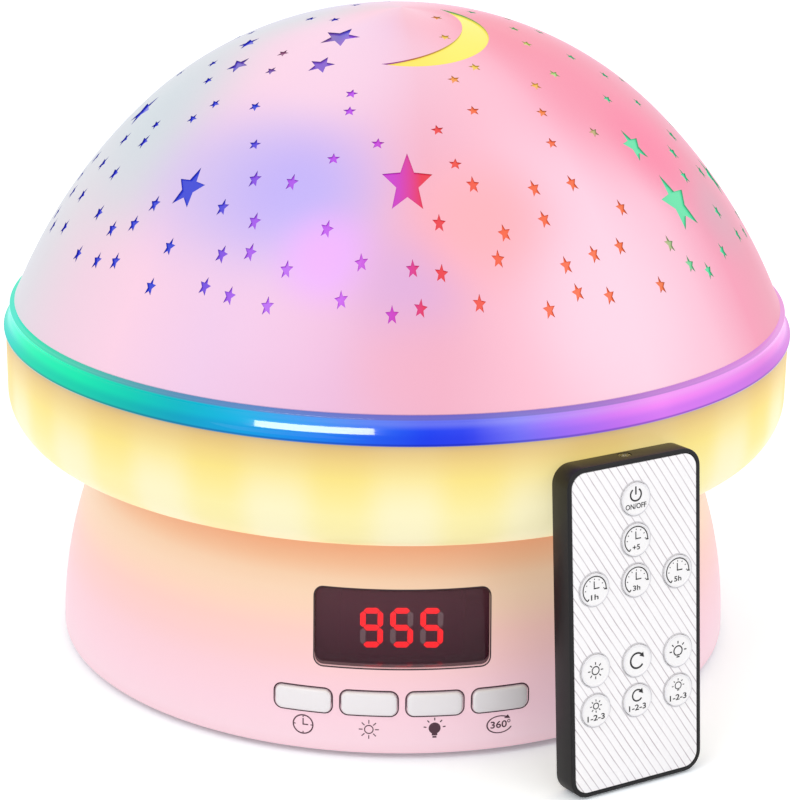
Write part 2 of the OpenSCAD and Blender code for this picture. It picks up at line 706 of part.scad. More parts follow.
module drive_motor() {
  boss_r = 3;
  lug_t = 1.6;
  color("silver") translate([0, gear_centre, 0]) difference() {
    union() {
      translate([0, 0, deck_z - gearbox_h]) cylinder(r = gearbox_r, h = gearbox_h, $fn = round_fn);
      translate([0, 0, deck_z - gearbox_h - motor_h]) cylinder(r = motor_r, h = motor_h + 1, $fn = round_fn);
      translate([0, 0, deck_z - gearbox_h - motor_h - 2]) cylinder(r = boss_r, h = 3, $fn = small_fn);
      translate([0, 0, deck_z - 1]) cylinder(r = boss_r + 0.3, h = deck_t + 1, $fn = small_fn);
      for (s = [-1, 1]) translate([s * (gearbox_r + 1), 0, deck_z - lug_t])
        cylinder(r = boss_r, h = lug_t, $fn = small_fn);
    }
    translate([0, 0, deck_z - 8]) cylinder(r = shaft_r + 0.06, h = 20, $fn = small_fn);
  }
}

module motor_shaft() {
  color("silver") translate([0, gear_centre, deck_z - 7.8])
    cylinder(r = shaft_r, h = gear_z + gear_face - deck_z + 7.8, $fn = small_fn);
}

module drive_pinion() {
  color("gold") translate([0, gear_centre, 0]) difference() {
    union() {
      translate([0, 0, gear_z]) linear_extrude(gear_face) rotate(90) polygon(pinion_line());
      translate([0, 0, deck_top + 0.4]) cylinder(r = 4, h = gear_z - deck_top, $fn = small_fn);
    }
    translate([0, 0, deck_top - 1]) cylinder(r = shaft_r + 0.02, h = 20, $fn = small_fn);
  }
}

module thrust_washer() {
  color("ivory") translate([0, 0, deck_top]) difference() {
    cylinder(r = hub_r + 1, h = washer_t, $fn = round_fn);
    translate([0, 0, -1]) cylinder(r = post_r + 0.15, h = washer_t + 2, $fn = round_fn);
  }
}

module turntable() {
  out_r = ring_pitch_r + dedendum + gear_rim;
  ribs = 12;
  color("gainsboro") difference() {
    union() {
      revolve([
        [hub_bore_r, hub_z], [hub_r, hub_z], [hub_r, plate_z], [plate_r, plate_z], [plate_r, dome_z],
        [hub_bore_r, dome_z]]);
      translate([0, 0, gear_z]) difference() {
        cylinder(r = out_r, h = plate_z - gear_z + 0.5, $fn = round_fn);
        translate([0, 0, -1]) linear_extrude(plate_z - gear_z + 3) rotate(90) polygon(ring_line());
      }
      // stiffening ribs under the plate, outside the gear
      for (i = [0:ribs - 1]) rotate([0, 0, 360 * (i + 0.5) / ribs])
        translate([out_r - 0.5, -0.75, plate_z - 3]) cube([plate_r - out_r - 10, 1.5, 3.5]);
    }
    at_thirds(dome_screw_r) translate([0, 0, plate_z - 1])
      cylinder(r = 1.15, h = plate_t + 2, $fn = small_fn);
  }
}

module retaining_ring() {
  color("silver") translate([0, 0, dome_z + 0.15]) difference() {
    cylinder(r = hub_r - 1, h = clip_t, $fn = round_fn);
    translate([0, 0, -1]) cylinder(r = post_r - clip_groove + 0.05, h = clip_t + 2, $fn = round_fn);
    translate([0, -2, -1]) cube([hub_r, 4, clip_t + 2]);
  }
}

// Dome

module star(r) { polygon([for (i = [0:9]) (i % 2 == 0 ? r : r * star_waist) * [cos(36 * i), sin(36 * i)]]); }

// a prism through the dome's wall at normal angle a and azimuth b
module window(a, b) {
  p = dome_at(a, 0);
  rotate([0, 0, b]) translate([p[0], 0, p[1]]) rotate([0, a, 0])
    translate([0, 0, -dome_wall - 3]) linear_extrude(dome_wall + 6) children();
}

module star_windows() {
  // small stars wander up and down inside their own band
  for (k = star_rows) let (n = row_count(k), crown = k < crown_rows) for (i = [0:n - 1])
    let (a = row_angle(k) + (crown ? 1.9 : 0.7) * sin(137 * i + 50 * k),
         b = 360 * (i + 0.3 * sin(100 * i)) / n + 9 * k)
      if (off_singles(spot(a, b)) && off_moon(flat(a, b)))
        window(a, b) scale([crown ? 1 : star_stretch, 1]) rotate(180 + 9 * sin(70 * i)) star(star_small);
  for (s = single_stars) window(s[0], s[1] - 90)
    scale([s[0] > 40 ? 1.35 : 1, 1]) rotate(180) star(star_large * s[2]);
  window(moon_a, moon_b) rotate(moon_out) difference() {
    circle(r = moon_r, $fn = 48);
    translate([-moon_shift, 0]) circle(r = moon_inner_r, $fn = 48);
  }
}

module star_dome() {
  lip_in = dome_edge_r - dome_wall - dome_lip_w;
  color("lightpink") difference() {
    translate([0, 0, dome_z]) union() {
      revolve(concat(dome_line(0), back(dome_line(dome_wall))));
      revolve([[lip_in, 0], [dome_edge_r - 1, 0],
        [dome_at(row_angle(crown_rows + flank_rows - 1), 1)[0] + 1, lip_t],
        [lip_in, lip_t]]);
    }
    translate([0, 0, dome_z]) star_windows();
    at_thirds(dome_screw_r) translate([0, 0, dome_z - 1]) cylinder(r = 0.95, h = lip_t + 2, $fn = small_fn);
  }
}

module dome_screws() {
  color("silver") at_thirds(dome_screw_r) {
    translate([0, 0, plate_z - 1]) cylinder(r = dome_screw_head_r, h = 1, $fn = small_fn);
    translate([0, 0, plate_z - 0.1]) cylinder(r = 0.9, h = plate_t + lip_t - 0.1, $fn = small_fn);
  }
}

module star_liner() {
  off = dome_wall + liner_gap;
  color("azure", 0.4) difference() {
    translate([0, 0, dome_z]) revolve(concat(dome_line(off), back(dome_line(off + liner_t))));
    translate([0, 0, dome_z - 5]) cylinder(r = dome_edge_r + 5, h = 5 + lip_t, $fn = round_fn);
  }
}

module star_led_board() {
  color("white") translate([0, 0, post_top]) cylinder(r = post_r - 2, h = 1.4, $fn = round_fn);
}

module star_leds() {
  color("khaki") for (i = [0:6]) rotate([0, 0, 60 * i]) translate([i == 6 ? 0 : 14, 0, post_top + 1.4]) {
    cylinder(r = 2.8, h = 1, $fn = small_fn);
    intersection() {
      translate([0, 0, 0.8]) sphere(r = 2.3, $fn = small_fn);
      cylinder(r = 2.5, h = 4, $fn = small_fn);
    }
  }
}

// Remote

module remote_place() {
  rotate([0, 0, remote_turn]) translate([0, -remote_foot, 0]) rotate([90 - remote_lean, 0, 0]) children();
}

module outline(w, l, r) { translate([0, remote_l / 2]) polygon(rounded(w, l, r)); }

module remote_shell() {
  in_w = remote_w - 2 * remote_wall;
  in_l = remote_l - 2 * remote_wall;
  color("black") remote_place() difference() {
    union() {
      difference() {
        linear_extrude(remote_t) outline(remote_w, remote_l, remote_round);
        translate([0, 0, shell_floor]) linear_extrude(remote_t)
          outline(in_w, in_l, remote_round - remote_wall);
      }
      // ledge under the face plate
      translate([0, 0, face_z - 1]) linear_extrude(0.9) difference() {
        outline(in_w + 0.4, in_l + 0.4, remote_round - remote_wall);
        outline(in_w - 1.2, in_l - 1.2, remote_round - remote_wall - 0.6);
      }
      // tray guides and board rests
      for (s = [-1, 1]) {
        translate([s * (tray_w / 2 + 0.8) - 0.6, 0.5, 0.5]) cube([1.2, tray_l, pad_board_z - 0.5 - seat]);
        translate([s * 9 - 0.6, tray_l + 8, 0.5])
          cube([1.2, remote_l - tray_l - 18, pad_board_z - 0.5 - seat]);
      }
    }
    translate([-tray_w / 2 - fit, -1, shell_floor]) cube([tray_w + 2 * fit, 4, tray_t + 0.15]);
    translate([0, remote_l + 1, shell_floor + 1.8]) rotate([90, 0, 0])
      cylinder(r = 1.6, h = 4, $fn = small_fn);
  }
}

// where the keys stand: row from the lowest up, column from the left
module pad_place(row, column) {
  translate([column * pad_pitch_x, remote_l - pad_end_gap - pad_rows[row] * pad_pitch_y, 0]) children();
}
module every_pad() {
  for (row = [0:2], column = [-1:1]) pad_place(row, column) children();
  for (row = [3:4]) pad_place(row, 0) children();
}

module remote_face() {
  gap = 0.1;
  color("white") remote_place() difference() {
    translate([0, 0, face_z]) linear_extrude(face_t)
      outline(remote_w - 2 * remote_wall - 2 * gap, remote_l - 2 * remote_wall - 2 * gap,
        remote_round - remote_wall);
    every_pad() translate([0, 0, face_z - 1]) cylinder(r = pad_r + 0.1, h = face_t + 2, $fn = small_fn);
  }
}

module remote_board() {
  color("darkgreen") remote_place() translate([-14.4, 2.4, pad_board_z])
    cube([28.8, remote_l - 9.6, pad_board_t]);
}

module remote_led() {
  color("azure") remote_place() translate([0, remote_l - 0.1, shell_floor + 1.8]) rotate([90, 0, 0]) {
    cylinder(r = 1.5, h = 5.5, $fn = small_fn);
    translate([0, 0, 5]) cylinder(r = 1.7, h = 1, $fn = small_fn);
  }
}

module coin_tray() {
  color("black") remote_place() difference() {
    translate([-tray_w / 2, 0, tray_z]) cube([tray_w, tray_l, tray_t]);
    translate([0, tray_l - coin_r - 0.6, tray_z + 0.2])
      cylinder(r = coin_r + 0.1, h = tray_t, $fn = round_fn);
    // nail notch in the outer end
    translate([-4, -1, tray_z + tray_t / 2]) cube([8, 1.6, tray_t]);
  }
}

module coin_cell() {
  color("silver") remote_place() translate([0, tray_l - coin_r - 0.6, tray_z + 0.2])
    cylinder(r = coin_r, h = coin_t, $fn = round_fn);
}

// a round key with a raised rim, and a flange that keeps it behind the face plate
module pad(row, column) {
  rim = 0.35;
  top = remote_t + pad_proud;
  low = face_z - seat - pad_flange_t;
  color("white") remote_place() pad_place(row, column) rotate_extrude($fn = small_fn) polygon([
    [0, low], [pad_r + 0.5, low], [pad_r + 0.5, low + pad_flange_t], [pad_r, low + pad_flange_t],
    [pad_r, top - 0.15], [pad_r - 0.15, top],
    [pad_r - rim, top], [pad_r - rim - 0.15, top - 0.2], [0, top - 0.2]]);
}
module pad_power() { pad(4, 0); }
module pad_add_5() { pad(3, 0); }
module pad_1h() { pad(2, -1); }
module pad_3h() { pad(2, 0); }
module pad_5h() { pad(2, 1); }
module pad_light() { pad(1, -1); }
module pad_turn() { pad(1, 0); }
module pad_colour() { pad(1, 1); }
module pad_light_123() { pad(0, -1); }
module pad_turn_123() { pad(0, 0); }
module pad_colour_123() { pad(0, 1); }

foot_ring();
bottom_cover();
battery_door();
aa_cells();
battery_contacts();
cover_screws();
base_housing();
display_lens();
display_module();
front_board();
tact_switches();
ir_receiver();
timer_key();
warm_key();
colour_key();
turn_key();
power_port();
power_board();
inner_frame();
frame_screws();
diffuser();
warm_led_strip();
light_ring();
ring_led_board();
drive_motor();
motor_shaft();
drive_pinion();
thrust_washer();
turntable();
retaining_ring();
dome_screws();
star_dome();
star_liner();
star_led_board();
star_leds();
remote_shell();
remote_face();
remote_board();
remote_led();
coin_tray();
coin_cell();
pad_power();
pad_add_5();
pad_1h();
pad_3h();
pad_5h();
pad_light();
pad_turn();
pad_colour();
pad_light_123();
pad_turn_123();
pad_colour_123();
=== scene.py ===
import bmesh
import bpy
import math
from mathutils import Matrix, Vector


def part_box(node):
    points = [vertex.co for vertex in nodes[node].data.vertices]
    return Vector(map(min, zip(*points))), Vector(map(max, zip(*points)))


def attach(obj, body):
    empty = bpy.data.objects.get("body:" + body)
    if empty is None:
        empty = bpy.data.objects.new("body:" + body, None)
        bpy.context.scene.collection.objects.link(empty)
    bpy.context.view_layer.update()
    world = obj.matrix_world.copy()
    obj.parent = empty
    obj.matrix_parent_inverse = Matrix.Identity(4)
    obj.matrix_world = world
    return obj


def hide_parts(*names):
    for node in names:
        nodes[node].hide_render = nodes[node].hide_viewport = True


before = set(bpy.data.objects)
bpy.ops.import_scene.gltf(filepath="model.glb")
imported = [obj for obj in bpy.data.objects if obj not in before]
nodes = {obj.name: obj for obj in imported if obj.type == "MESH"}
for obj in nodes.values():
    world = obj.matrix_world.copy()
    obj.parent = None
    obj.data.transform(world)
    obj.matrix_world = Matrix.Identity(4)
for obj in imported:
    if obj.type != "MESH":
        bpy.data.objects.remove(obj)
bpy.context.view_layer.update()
mm = 0.001
tiny = 1e-7
weld = 1e-6
print("frame loaded:", len(nodes), "nodes")

# heights and radii that several pieces share, in millimetres
lamp = {
    "footZ": 1.5,
    "baseTop": 55.5,
    "ringZ": 83.0,
    "ringTop": 89.0,
    "domeZ": 89.4,
    "baseR": 86.8,
    "baseCurveR": 112.6,
    "baseWall": 2.4,
    "diffuserR": 99.5,
    "spinSteps": 192,
    "toolStart": 50,
    "toolDepth": 60,
}


def linear(red, green, blue):
    # screen values from 0 to 255 turned into the linear values that shaders take
    parts = []
    for value in (red, green, blue):
        share = value / 255
        parts.append(share / 12.92 if share <= 0.04045 else ((share + 0.055) / 1.055) ** 2.4)
    return (*parts, 1.0)


def turned(degrees, axis="Z"):
    return Matrix.Rotation(math.radians(degrees), 4, axis)


def moved(x, y, z=0.0):
    # a shift in millimetres
    return Matrix.Translation((x * mm, y * mm, z * mm))


# modelling tools

def clearSelection():
    if bpy.context.object and bpy.context.object.mode != "OBJECT":
        bpy.ops.object.mode_set(mode="OBJECT")
    bpy.ops.object.select_all(action="DESELECT")


def activate(piece):
    clearSelection()
    piece.select_set(True)
    bpy.context.view_layer.objects.active = piece
    return piece


def bake(piece):
    # moves the object's place into its mesh, so that the object sits at the origin
    activate(piece)
    bpy.ops.object.transform_apply(location=True, rotation=True, scale=True)
    return piece


def place(piece, matrix):
    # puts a flat or local drawing where it belongs, for good
    piece.matrix_world = matrix @ piece.matrix_world
    return bake(piece)


def shift(piece, x, y, z=0.0, turn=0):
    # turns the mesh about z by degrees and moves it by millimetres
    piece.data.transform(moved(x, y, z) @ turned(turn))
    return piece


def duplicate(piece, name):
    copy = piece.copy()
    copy.data = piece.data.copy()
    copy.name = name
    bpy.context.scene.collection.objects.link(copy)
    return copy


def join(pieces, name):
    clearSelection()
    for piece in pieces:
        piece.select_set(True)
    bpy.context.view_layer.objects.active = pieces[0]
    if len(pieces) > 1:
        bpy.ops.object.join()
    joined = bpy.context.object
    joined.name = name
    return joined


def applyModifier(piece, kind, **settings):
    activate(piece)
    modifier = piece.modifiers.new(kind.title(), kind)
    for key, value in settings.items():
        setattr(modifier, key, value)
    bpy.ops.object.modifier_apply(modifier=modifier.name)
    return piece


def smooth(piece, degrees=40):
    activate(piece)
    bpy.ops.object.shade_smooth_by_angle(angle=math.radians(degrees))
    return piece


def openMesh(piece, selected=False):
    activate(piece)
    bpy.ops.object.mode_set(mode="EDIT")
    bpy.ops.mesh.select_all(action="SELECT" if selected else "DESELECT")
    return bmesh.from_edit_mesh(piece.data)


def closeMesh():
    bpy.ops.object.mode_set(mode="OBJECT")


def selectEdges(piece, wanted):
    mesh = openMesh(piece)
    for edge in mesh.edges:
        if wanted(*[vertex.co for vertex in edge.verts]):
            edge.select_set(True)
    bmesh.update_edit_mesh(piece.data)


def bevelFaces(piece, side, offset, segments):
    # rounds off the faces that look up, or down for a side of -1
    mesh = openMesh(piece)
    for face in mesh.faces:
        if side * face.normal.z > 0.9:
            face.select_set(True)
    bmesh.update_edit_mesh(piece.data)
    bpy.ops.mesh.bevel(offset=offset * mm, segments=segments, affect="EDGES")
    closeMesh()


def tidyNormals(piece):
    openMesh(piece, selected=True)
    bpy.ops.mesh.remove_doubles(threshold=weld)
    bpy.ops.mesh.normals_make_consistent(inside=False)
    closeMesh()
    return piece


def walk(name, points):
    # one vertex walks through points given in millimetres as (x, z), and leaves a profile
    bpy.ops.mesh.primitive_plane_add(size=mm)
    piece = bpy.context.object
    piece.name = name
    openMesh(piece, selected=True)
    bpy.ops.mesh.merge(type="CENTER")
    bpy.ops.transform.translate(value=(points[0][0] * mm, 0, points[0][1] * mm))
    for start, end in zip(points, points[1:]):
        step = ((end[0] - start[0]) * mm, 0, (end[1] - start[1]) * mm)
        bpy.ops.mesh.extrude_region_move(TRANSFORM_OT_translate={"value": step})
    return piece


def lathe(name, points, steps=lamp["spinSteps"]):
    piece = walk(name, points)
    bpy.ops.mesh.select_all(action="SELECT")
    bpy.ops.mesh.spin(steps=steps, angle=math.tau, center=(0, 0, 0), axis=(0, 0, 1))
    closeMesh()
    return tidyNormals(piece)


def thicken(height):
    # raises what is selected in the open mesh, and closes it
    bpy.ops.mesh.extrude_region_move(TRANSFORM_OT_translate={"value": (0, 0, height * mm)})
    bpy.ops.mesh.select_all(action="SELECT")
    bpy.ops.mesh.normals_make_consistent(inside=False)
    closeMesh()


def cut(piece, tool, operation="DIFFERENCE", **settings):
    applyModifier(piece, "BOOLEAN", object=tool, operation=operation, solver="EXACT", **settings)
    bpy.data.objects.remove(tool)
    return piece


def rod(radius, depth, spot, vertices=48, standing=True):
    # a cylinder in millimetres, along z or along y
    bpy.ops.mesh.primitive_cylinder_add(
        vertices=vertices, radius=radius * mm, depth=depth * mm, location=[part * mm for part in spot],
        rotation=(0 if standing else math.radians(90), 0, 0))
    return bake(bpy.context.object)


def polar(radius, degrees):
    angle = math.radians(degrees)
    return radius * math.cos(angle), radius * math.sin(angle)


def arc(centreX, centreZ, radius, startDegrees, endDegrees, steps):
    points = []
    for i in range(steps + 1):
        x, z = polar(radius, startDegrees + (endDegrees - startDegrees) * i / steps)
        points.append((centreX + x, centreZ + z))
    return points


def flatShape(points):
    # a filled outline through points in millimetres
    clearSelection()
    bpy.ops.mesh.primitive_circle_add(vertices=len(points), radius=mm, fill_type="NGON")
    shape = bpy.context.object
    for vertex, point in zip(shape.data.vertices, points):
        vertex.co = (point[0] * mm, point[1] * mm, 0)
    return shape


# material tools

def newGroup(name, outputs, **inputs):
    # an input's kind follows from its value, and an output called Colour is a colour
    group = bpy.data.node_groups.new(name, "ShaderNodeTree")
    kinds = {4: "NodeSocketColor", 3: "NodeSocketVector"}
    for label, value in inputs.items():
        kind = kinds[len(value)] if isinstance(value, tuple) else "NodeSocketFloat"
        group.interface.new_socket(label, in_out="INPUT", socket_type=kind).default_value = value
    for label in outputs:
        kind = "NodeSocketColor" if label == "Colour" else "NodeSocketFloat"
        group.interface.new_socket(label, in_out="OUTPUT", socket_type=kind)
    return group, group.nodes.new("NodeGroupInput").outputs, group.nodes.new("NodeGroupOutput")


def feed(tree, socket, source):
    # links an output to a socket, or writes a plain value into it
    if hasattr(source, "links"):
        tree.links.new(source, socket)
    else:
        socket.default_value = source


def connect(tree, node, **sources):
    for label, source in sources.items():
        feed(tree, node.inputs[label.replace("_", " ")], source)


def addNode(tree, kind, sources=(), **settings):
    node = tree.nodes.new(kind)
    for key, value in settings.items():
        setattr(node, key, value)
    for socket, source in sources:
        feed(tree, node.inputs[socket], source)
    return node


def math2(tree, operation, first, second=0.0):
    return addNode(tree, "ShaderNodeMath", [(0, first), (1, second)], operation=operation).outputs[0]


def mixColours(tree, factor, first, second, blend="MIX"):
    sources = [("Factor", factor), (6, first), (7, second)]
    return addNode(tree, "ShaderNodeMix", sources, data_type="RGBA", blend_type=blend).outputs[2]


def shaded(tree, mask, colour, *tone):
    # multiplies a colour by a tone as far as the mask goes
    return mixColours(tree, mask, colour, mixColours(tree, 1.0, colour, linear(*tone), "MULTIPLY"))


def ramp(tree, factor, stops):
    # each stop is a position and a colour in screen values
    node = tree.nodes.new("ShaderNodeValToRGB")
    elements = node.color_ramp.elements
    while len(elements) > 1:
        elements.remove(elements[-1])
    elements[0].position = stops[0][0]
    elements[0].color = linear(*stops[0][1:])
    for position, *colour in stops[1:]:
        elements.new(position).color = linear(*colour)
    tree.links.new(factor, node.inputs[0])
    return node.outputs[0]


def remap(tree, value, low, high, first, last, kind="SMOOTHSTEP"):
    # a value that runs from first to last while another runs from low to high
    sockets = list(enumerate((value, low, high, first, last)))
    return addNode(tree, "ShaderNodeMapRange", sockets, interpolation_type=kind).outputs[0]


def objectPlace(tree):
    return addNode(tree, "ShaderNodeTexCoord").outputs["Object"]


def noise(tree, where, scale, detail):
    sources = [("Vector", where), ("Scale", scale), ("Detail", detail)]
    return addNode(tree, "ShaderNodeTexNoise", sources).outputs[0]


def makeMouldGrain():
    # fine moulded texture: a height for bump and a roughness that drifts with handling
    group, given, leave = newGroup("mouldGrain", ("Height", "Roughness"), Scale=900.0, Roughness=0.4,
                                   Drift=0.06)
    where = objectPlace(group)
    broad = math2(group, "SUBTRACT", noise(group, where, 45.0, 4.0), 0.5)
    drift = math2(group, "MULTIPLY", broad, given["Drift"])
    shine = math2(group, "ADD", given["Roughness"], math2(group, "MULTIPLY", drift, 2.0))
    connect(group, leave, Height=noise(group, where, given["Scale"], 3.0), Roughness=shine)
    return group


def makeColourDrift():
    # slight unevenness of a moulded colour, towards a deeper tone
    group, given, leave = newGroup("colourDrift", ("Colour",), Colour=(1, 1, 1, 1),
                                   Deep=(0.5, 0.5, 0.5, 1), Scale=30.0, Amount=0.1)
    cloud = noise(group, objectPlace(group), given["Scale"], 5.0)
    share = math2(group, "MULTIPLY", cloud, given["Amount"])
    connect(group, leave, Colour=mixColours(group, share, given["Colour"], given["Deep"]))
    return group


def makeTurnAngle():
    # place round the lamp's axis: 0 at the back, 0.25 at the left, 0.5 in front, 0.75 at the right
    group, _, leave = newGroup("turnAngle", ("Turn", "Height"))
    split = addNode(group, "ShaderNodeSeparateXYZ", [(0, objectPlace(group))]).outputs
    angle = math2(group, "ARCTAN2", split["X"], math2(group, "MULTIPLY", split["Y"], -1.0))
    turn = math2(group, "ADD", math2(group, "DIVIDE", angle, math.tau), 0.5)
    connect(group, leave, Turn=turn, Height=split["Z"])
    return group


def makeGlowSpot():
    # soft round patch of light around a point: 1 in its middle, 0 at its radius
    group, given, leave = newGroup("glowSpot", ("Mask",), Centre=(0, 0, 0), Radius=0.03, Strength=1.0)
    gap = addNode(group, "ShaderNodeVectorMath", [(0, objectPlace(group)), (1, given["Centre"])],
                  operation="DISTANCE").outputs["Value"]
    share = math2(group, "DIVIDE", gap, given["Radius"])
    near = remap(group, share, 0.0, 1.0, 1.0, 0.0, "SMOOTHERSTEP")
    connect(group, leave, Mask=math2(group, "MULTIPLY", near, given["Strength"]))
    return group


def makeBrushedLines():
    # fine drawn lines along one axis for metal
    group, given, leave = newGroup("brushedLines", ("Height", "Roughness"), Stretch=(40, 40, 3000),
                                   Roughness=0.3, Spread=0.2)
    pulled = addNode(group, "ShaderNodeVectorMath", [(0, objectPlace(group)), (1, given["Stretch"])],
                     operation="MULTIPLY").outputs[0]
    lines = noise(group, pulled, 1.0, 4.0)
    shine = math2(group, "ADD", given["Roughness"], math2(group, "MULTIPLY", lines, given["Spread"]))
    connect(group, leave, Height=lines, Roughness=shine)
    return group


groups = {
    "grain": makeMouldGrain(),
    "drift": makeColourDrift(),
    "turn": makeTurnAngle(),
    "spot": makeGlowSpot(),
    "brush": makeBrushedLines(),
}


def useGroup(tree, name, **values):
    node = addNode(tree, "ShaderNodeGroup", node_tree=groups[name])
    connect(tree, node, **values)
    return node.outputs


def uneven(tree, colour, deep, scale, amount):
    return useGroup(tree, "drift", Colour=colour, Deep=deep, Scale=scale, Amount=amount)[0]


def roundLamp(tree):
    outputs = useGroup(tree, "turn")
    return outputs["Turn"], outputs["Height"]


def startMaterial(name, **fixed):
    material = bpy.data.materials.new(name)
    material.use_nodes = True
    tree = material.node_tree
    shader = tree.nodes["Principled BSDF"]
    connect(tree, shader, **fixed)
    return material, tree, shader


def addBump(tree, shader, height, strength, distance):
    bump = addNode(tree, "ShaderNodeBump",
                   [("Height", height), ("Strength", strength), ("Distance", distance)])
    connect(tree, shader, Normal=bump.outputs[0])


def addGrain(tree, shader, scale, roughness, drift, bump=0.0, depth=0.0002):
    grain = useGroup(tree, "grain", Scale=scale, Roughness=roughness, Drift=drift)
    connect(tree, shader, Roughness=grain["Roughness"])
    if bump:
        addBump(tree, shader, grain["Height"], bump, depth)


def plastic(name, colour, deep, roughness=0.4, scale=900.0, bump=0.06, amount=0.25, **fixed):
    material, tree, shader = startMaterial(name, **fixed)
    connect(tree, shader, Base_Color=uneven(tree, linear(*colour), linear(*deep), 35.0, amount))
    addGrain(tree, shader, scale, roughness, 0.06, bump)
    return material


def metal(name, colour, deep, roughness, stretch=(40, 40, 3000)):
    material, tree, shader = startMaterial(name, Metallic=1.0)
    lines = useGroup(tree, "brush", Stretch=stretch, Roughness=roughness, Spread=0.2)
    connect(tree, shader, Base_Color=uneven(tree, linear(*colour), linear(*deep), 60.0, 0.4),
            Roughness=lines["Roughness"])
    addBump(tree, shader, lines["Height"], 0.08, 0.0001)
    return material


def glowing(tree, shader, colour, share, spread=1.0):
    # splits one colour between what the room lights and what shines by itself; spread is the part of
    # its shine that reaches other surfaces
    black = (0, 0, 0, 1)
    connect(tree, shader, Base_Color=mixColours(tree, 1.0 - share, black, colour),
            Emission_Color=mixColours(tree, share, black, colour))
    paths = addNode(tree, "ShaderNodeLightPath").outputs
    held = math2(tree, "MULTIPLY", paths["Is Diffuse Ray"], spread - 1.0)
    connect(tree, shader, Emission_Strength=math2(tree, "ADD", held, 1.0))


def dress(piece, material):
    piece.data.materials.clear()
    piece.data.materials.append(material)
    return piece


def finishPiece(piece, body, material=None, replaced=()):
    if material:
        dress(piece, material)
    bake(piece)
    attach(piece, body)
    if replaced:
        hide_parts(*replaced)
    return piece


# camera, floor and light

view = {
    "target": (0, 0, 68.2),
    "distance": 654.8,
    "azimuth": -1.6,
    "elevation": 18.23,
    "roll": 0.8,
    "lens": 113.8,
    "shiftX": 0.0007,
    "shiftY": -0.0389,
}


def makeCamera():
    azimuth = math.radians(view["azimuth"])
    elevation = math.radians(view["elevation"])
    back = Vector((math.sin(azimuth) * math.cos(elevation), -math.cos(azimuth) * math.cos(elevation),
                   math.sin(elevation)))
    bpy.ops.object.camera_add(location=Vector(view["target"]) * mm + back * view["distance"] * mm)
    camera = bpy.context.object
    camera.rotation_mode = "QUATERNION"
    roll = Matrix.Rotation(math.radians(view["roll"]), 3, "Z").to_quaternion()
    camera.rotation_quaternion = (-back).to_track_quat("-Z", "Y") @ roll
    camera.data.lens = view["lens"]
    camera.data.sensor_width = 36
    camera.data.shift_x = view["shiftX"]
    camera.data.shift_y = view["shiftY"]
    camera.data.clip_start = 0.01
    bpy.context.scene.camera = camera


studio = {
    "floorHalf": 6.0,
    "floorLift": 0.15,
    "floorGain": 1.25,
    "worldStrength": 0.86,
    "lampMiddle": 0.08,
    "keyPower": 4.6,
    "keySize": 0.9,
    "keyPlace": (-0.75, -0.9, 1.25),
    "fillPower": 2.6,
    "fillSize": 1.2,
    "fillPlace": (1.1, -0.7, 0.7),
    "stripTurn": -23.2,
    "stripReach": 0.8,
    "stripHeight": 0.315,
    "stripWidth": 0.46,
    "stripTall": 0.09,
    "stripPower": 9.0,
}


def cameraSees(tree):
    # 1 on rays that come from the camera, straight or through clear plastic
    paths = addNode(tree, "ShaderNodeLightPath").outputs
    return math2(tree, "MAXIMUM", paths["Is Camera Ray"], paths["Is Transmission Ray"])


def makeFloor():
    clearSelection()
    bpy.ops.mesh.primitive_plane_add(size=2 * studio["floorHalf"])
    floor = bpy.context.object
    floor.name = "studioFloor"
    material, tree, shader = startMaterial("paleFloor", Roughness=0.9, Specular_IOR_Level=0.1)
    tint = uneven(tree, (0.91, 0.935, 0.96, 1), (0.89, 0.915, 0.94, 1), 3.0, 0.2)
    seen = cameraSees(tree)
    gain = studio["floorGain"]
    bright = mixColours(tree, 1.0, tint, (gain, gain, gain, 1), "MULTIPLY")
    connect(tree, shader, Base_Color=mixColours(tree, seen, tint, bright))
    lift = addNode(tree, "ShaderNodeEmission", [
        ("Color", (0.86, 0.94, 1, 1)), ("Strength", math2(tree, "MULTIPLY", seen, studio["floorLift"]))])
    both = addNode(tree, "ShaderNodeAddShader", [(0, shader.outputs[0]), (1, lift.outputs[0])])
    connect(tree, tree.nodes["Material Output"], Surface=both.outputs[0])
    dress(floor, material)


def areaLight(name, spot, aim):
    bpy.ops.object.light_add(type="AREA", location=spot)
    light = bpy.context.object
    light.name = name + "Panel"
    light.rotation_mode = "QUATERNION"
    light.rotation_quaternion = (Vector((0, 0, aim)) - Vector(spot)).to_track_quat("-Z", "Y")
    light.data.energy = studio[name + "Power"]
    return light


def makeLights():
    world = bpy.data.worlds.new("softRoom")
    bpy.context.scene.world = world
    world.use_nodes = True
    tree = world.node_tree
    strength = math2(tree, "MAXIMUM", cameraSees(tree), studio["worldStrength"])
    connect(tree, tree.nodes["Background"], Color=(1, 1, 1, 1), Strength=strength)
    for name in ("key", "fill"):
        panel = areaLight(name, studio[name + "Place"], studio["lampMiddle"])
        panel.data.size = studio[name + "Size"]


def lightStrip(receiver):
    # a strip light whose reflection draws one bright bar on the glossy ring
    turn = math.radians(studio["stripTurn"])
    reach, height = studio["stripReach"], studio["stripHeight"]
    strip = areaLight("strip", (math.sin(turn) * reach, -math.cos(turn) * reach, height), lamp["ringZ"] * mm)
    strip.data.shape = "RECTANGLE"
    strip.data.size = studio["stripWidth"]
    strip.data.size_y = studio["stripTall"]
    strip.visible_diffuse = False
    lit = bpy.data.collections.new("stripLit")
    lit.objects.link(receiver)
    strip.light_linking.receiver_collection = lit


makeCamera()
makeFloor()
makeLights()
bpy.context.scene.view_settings.view_transform = "Standard"
print("camera, floor and light made")

# star dome

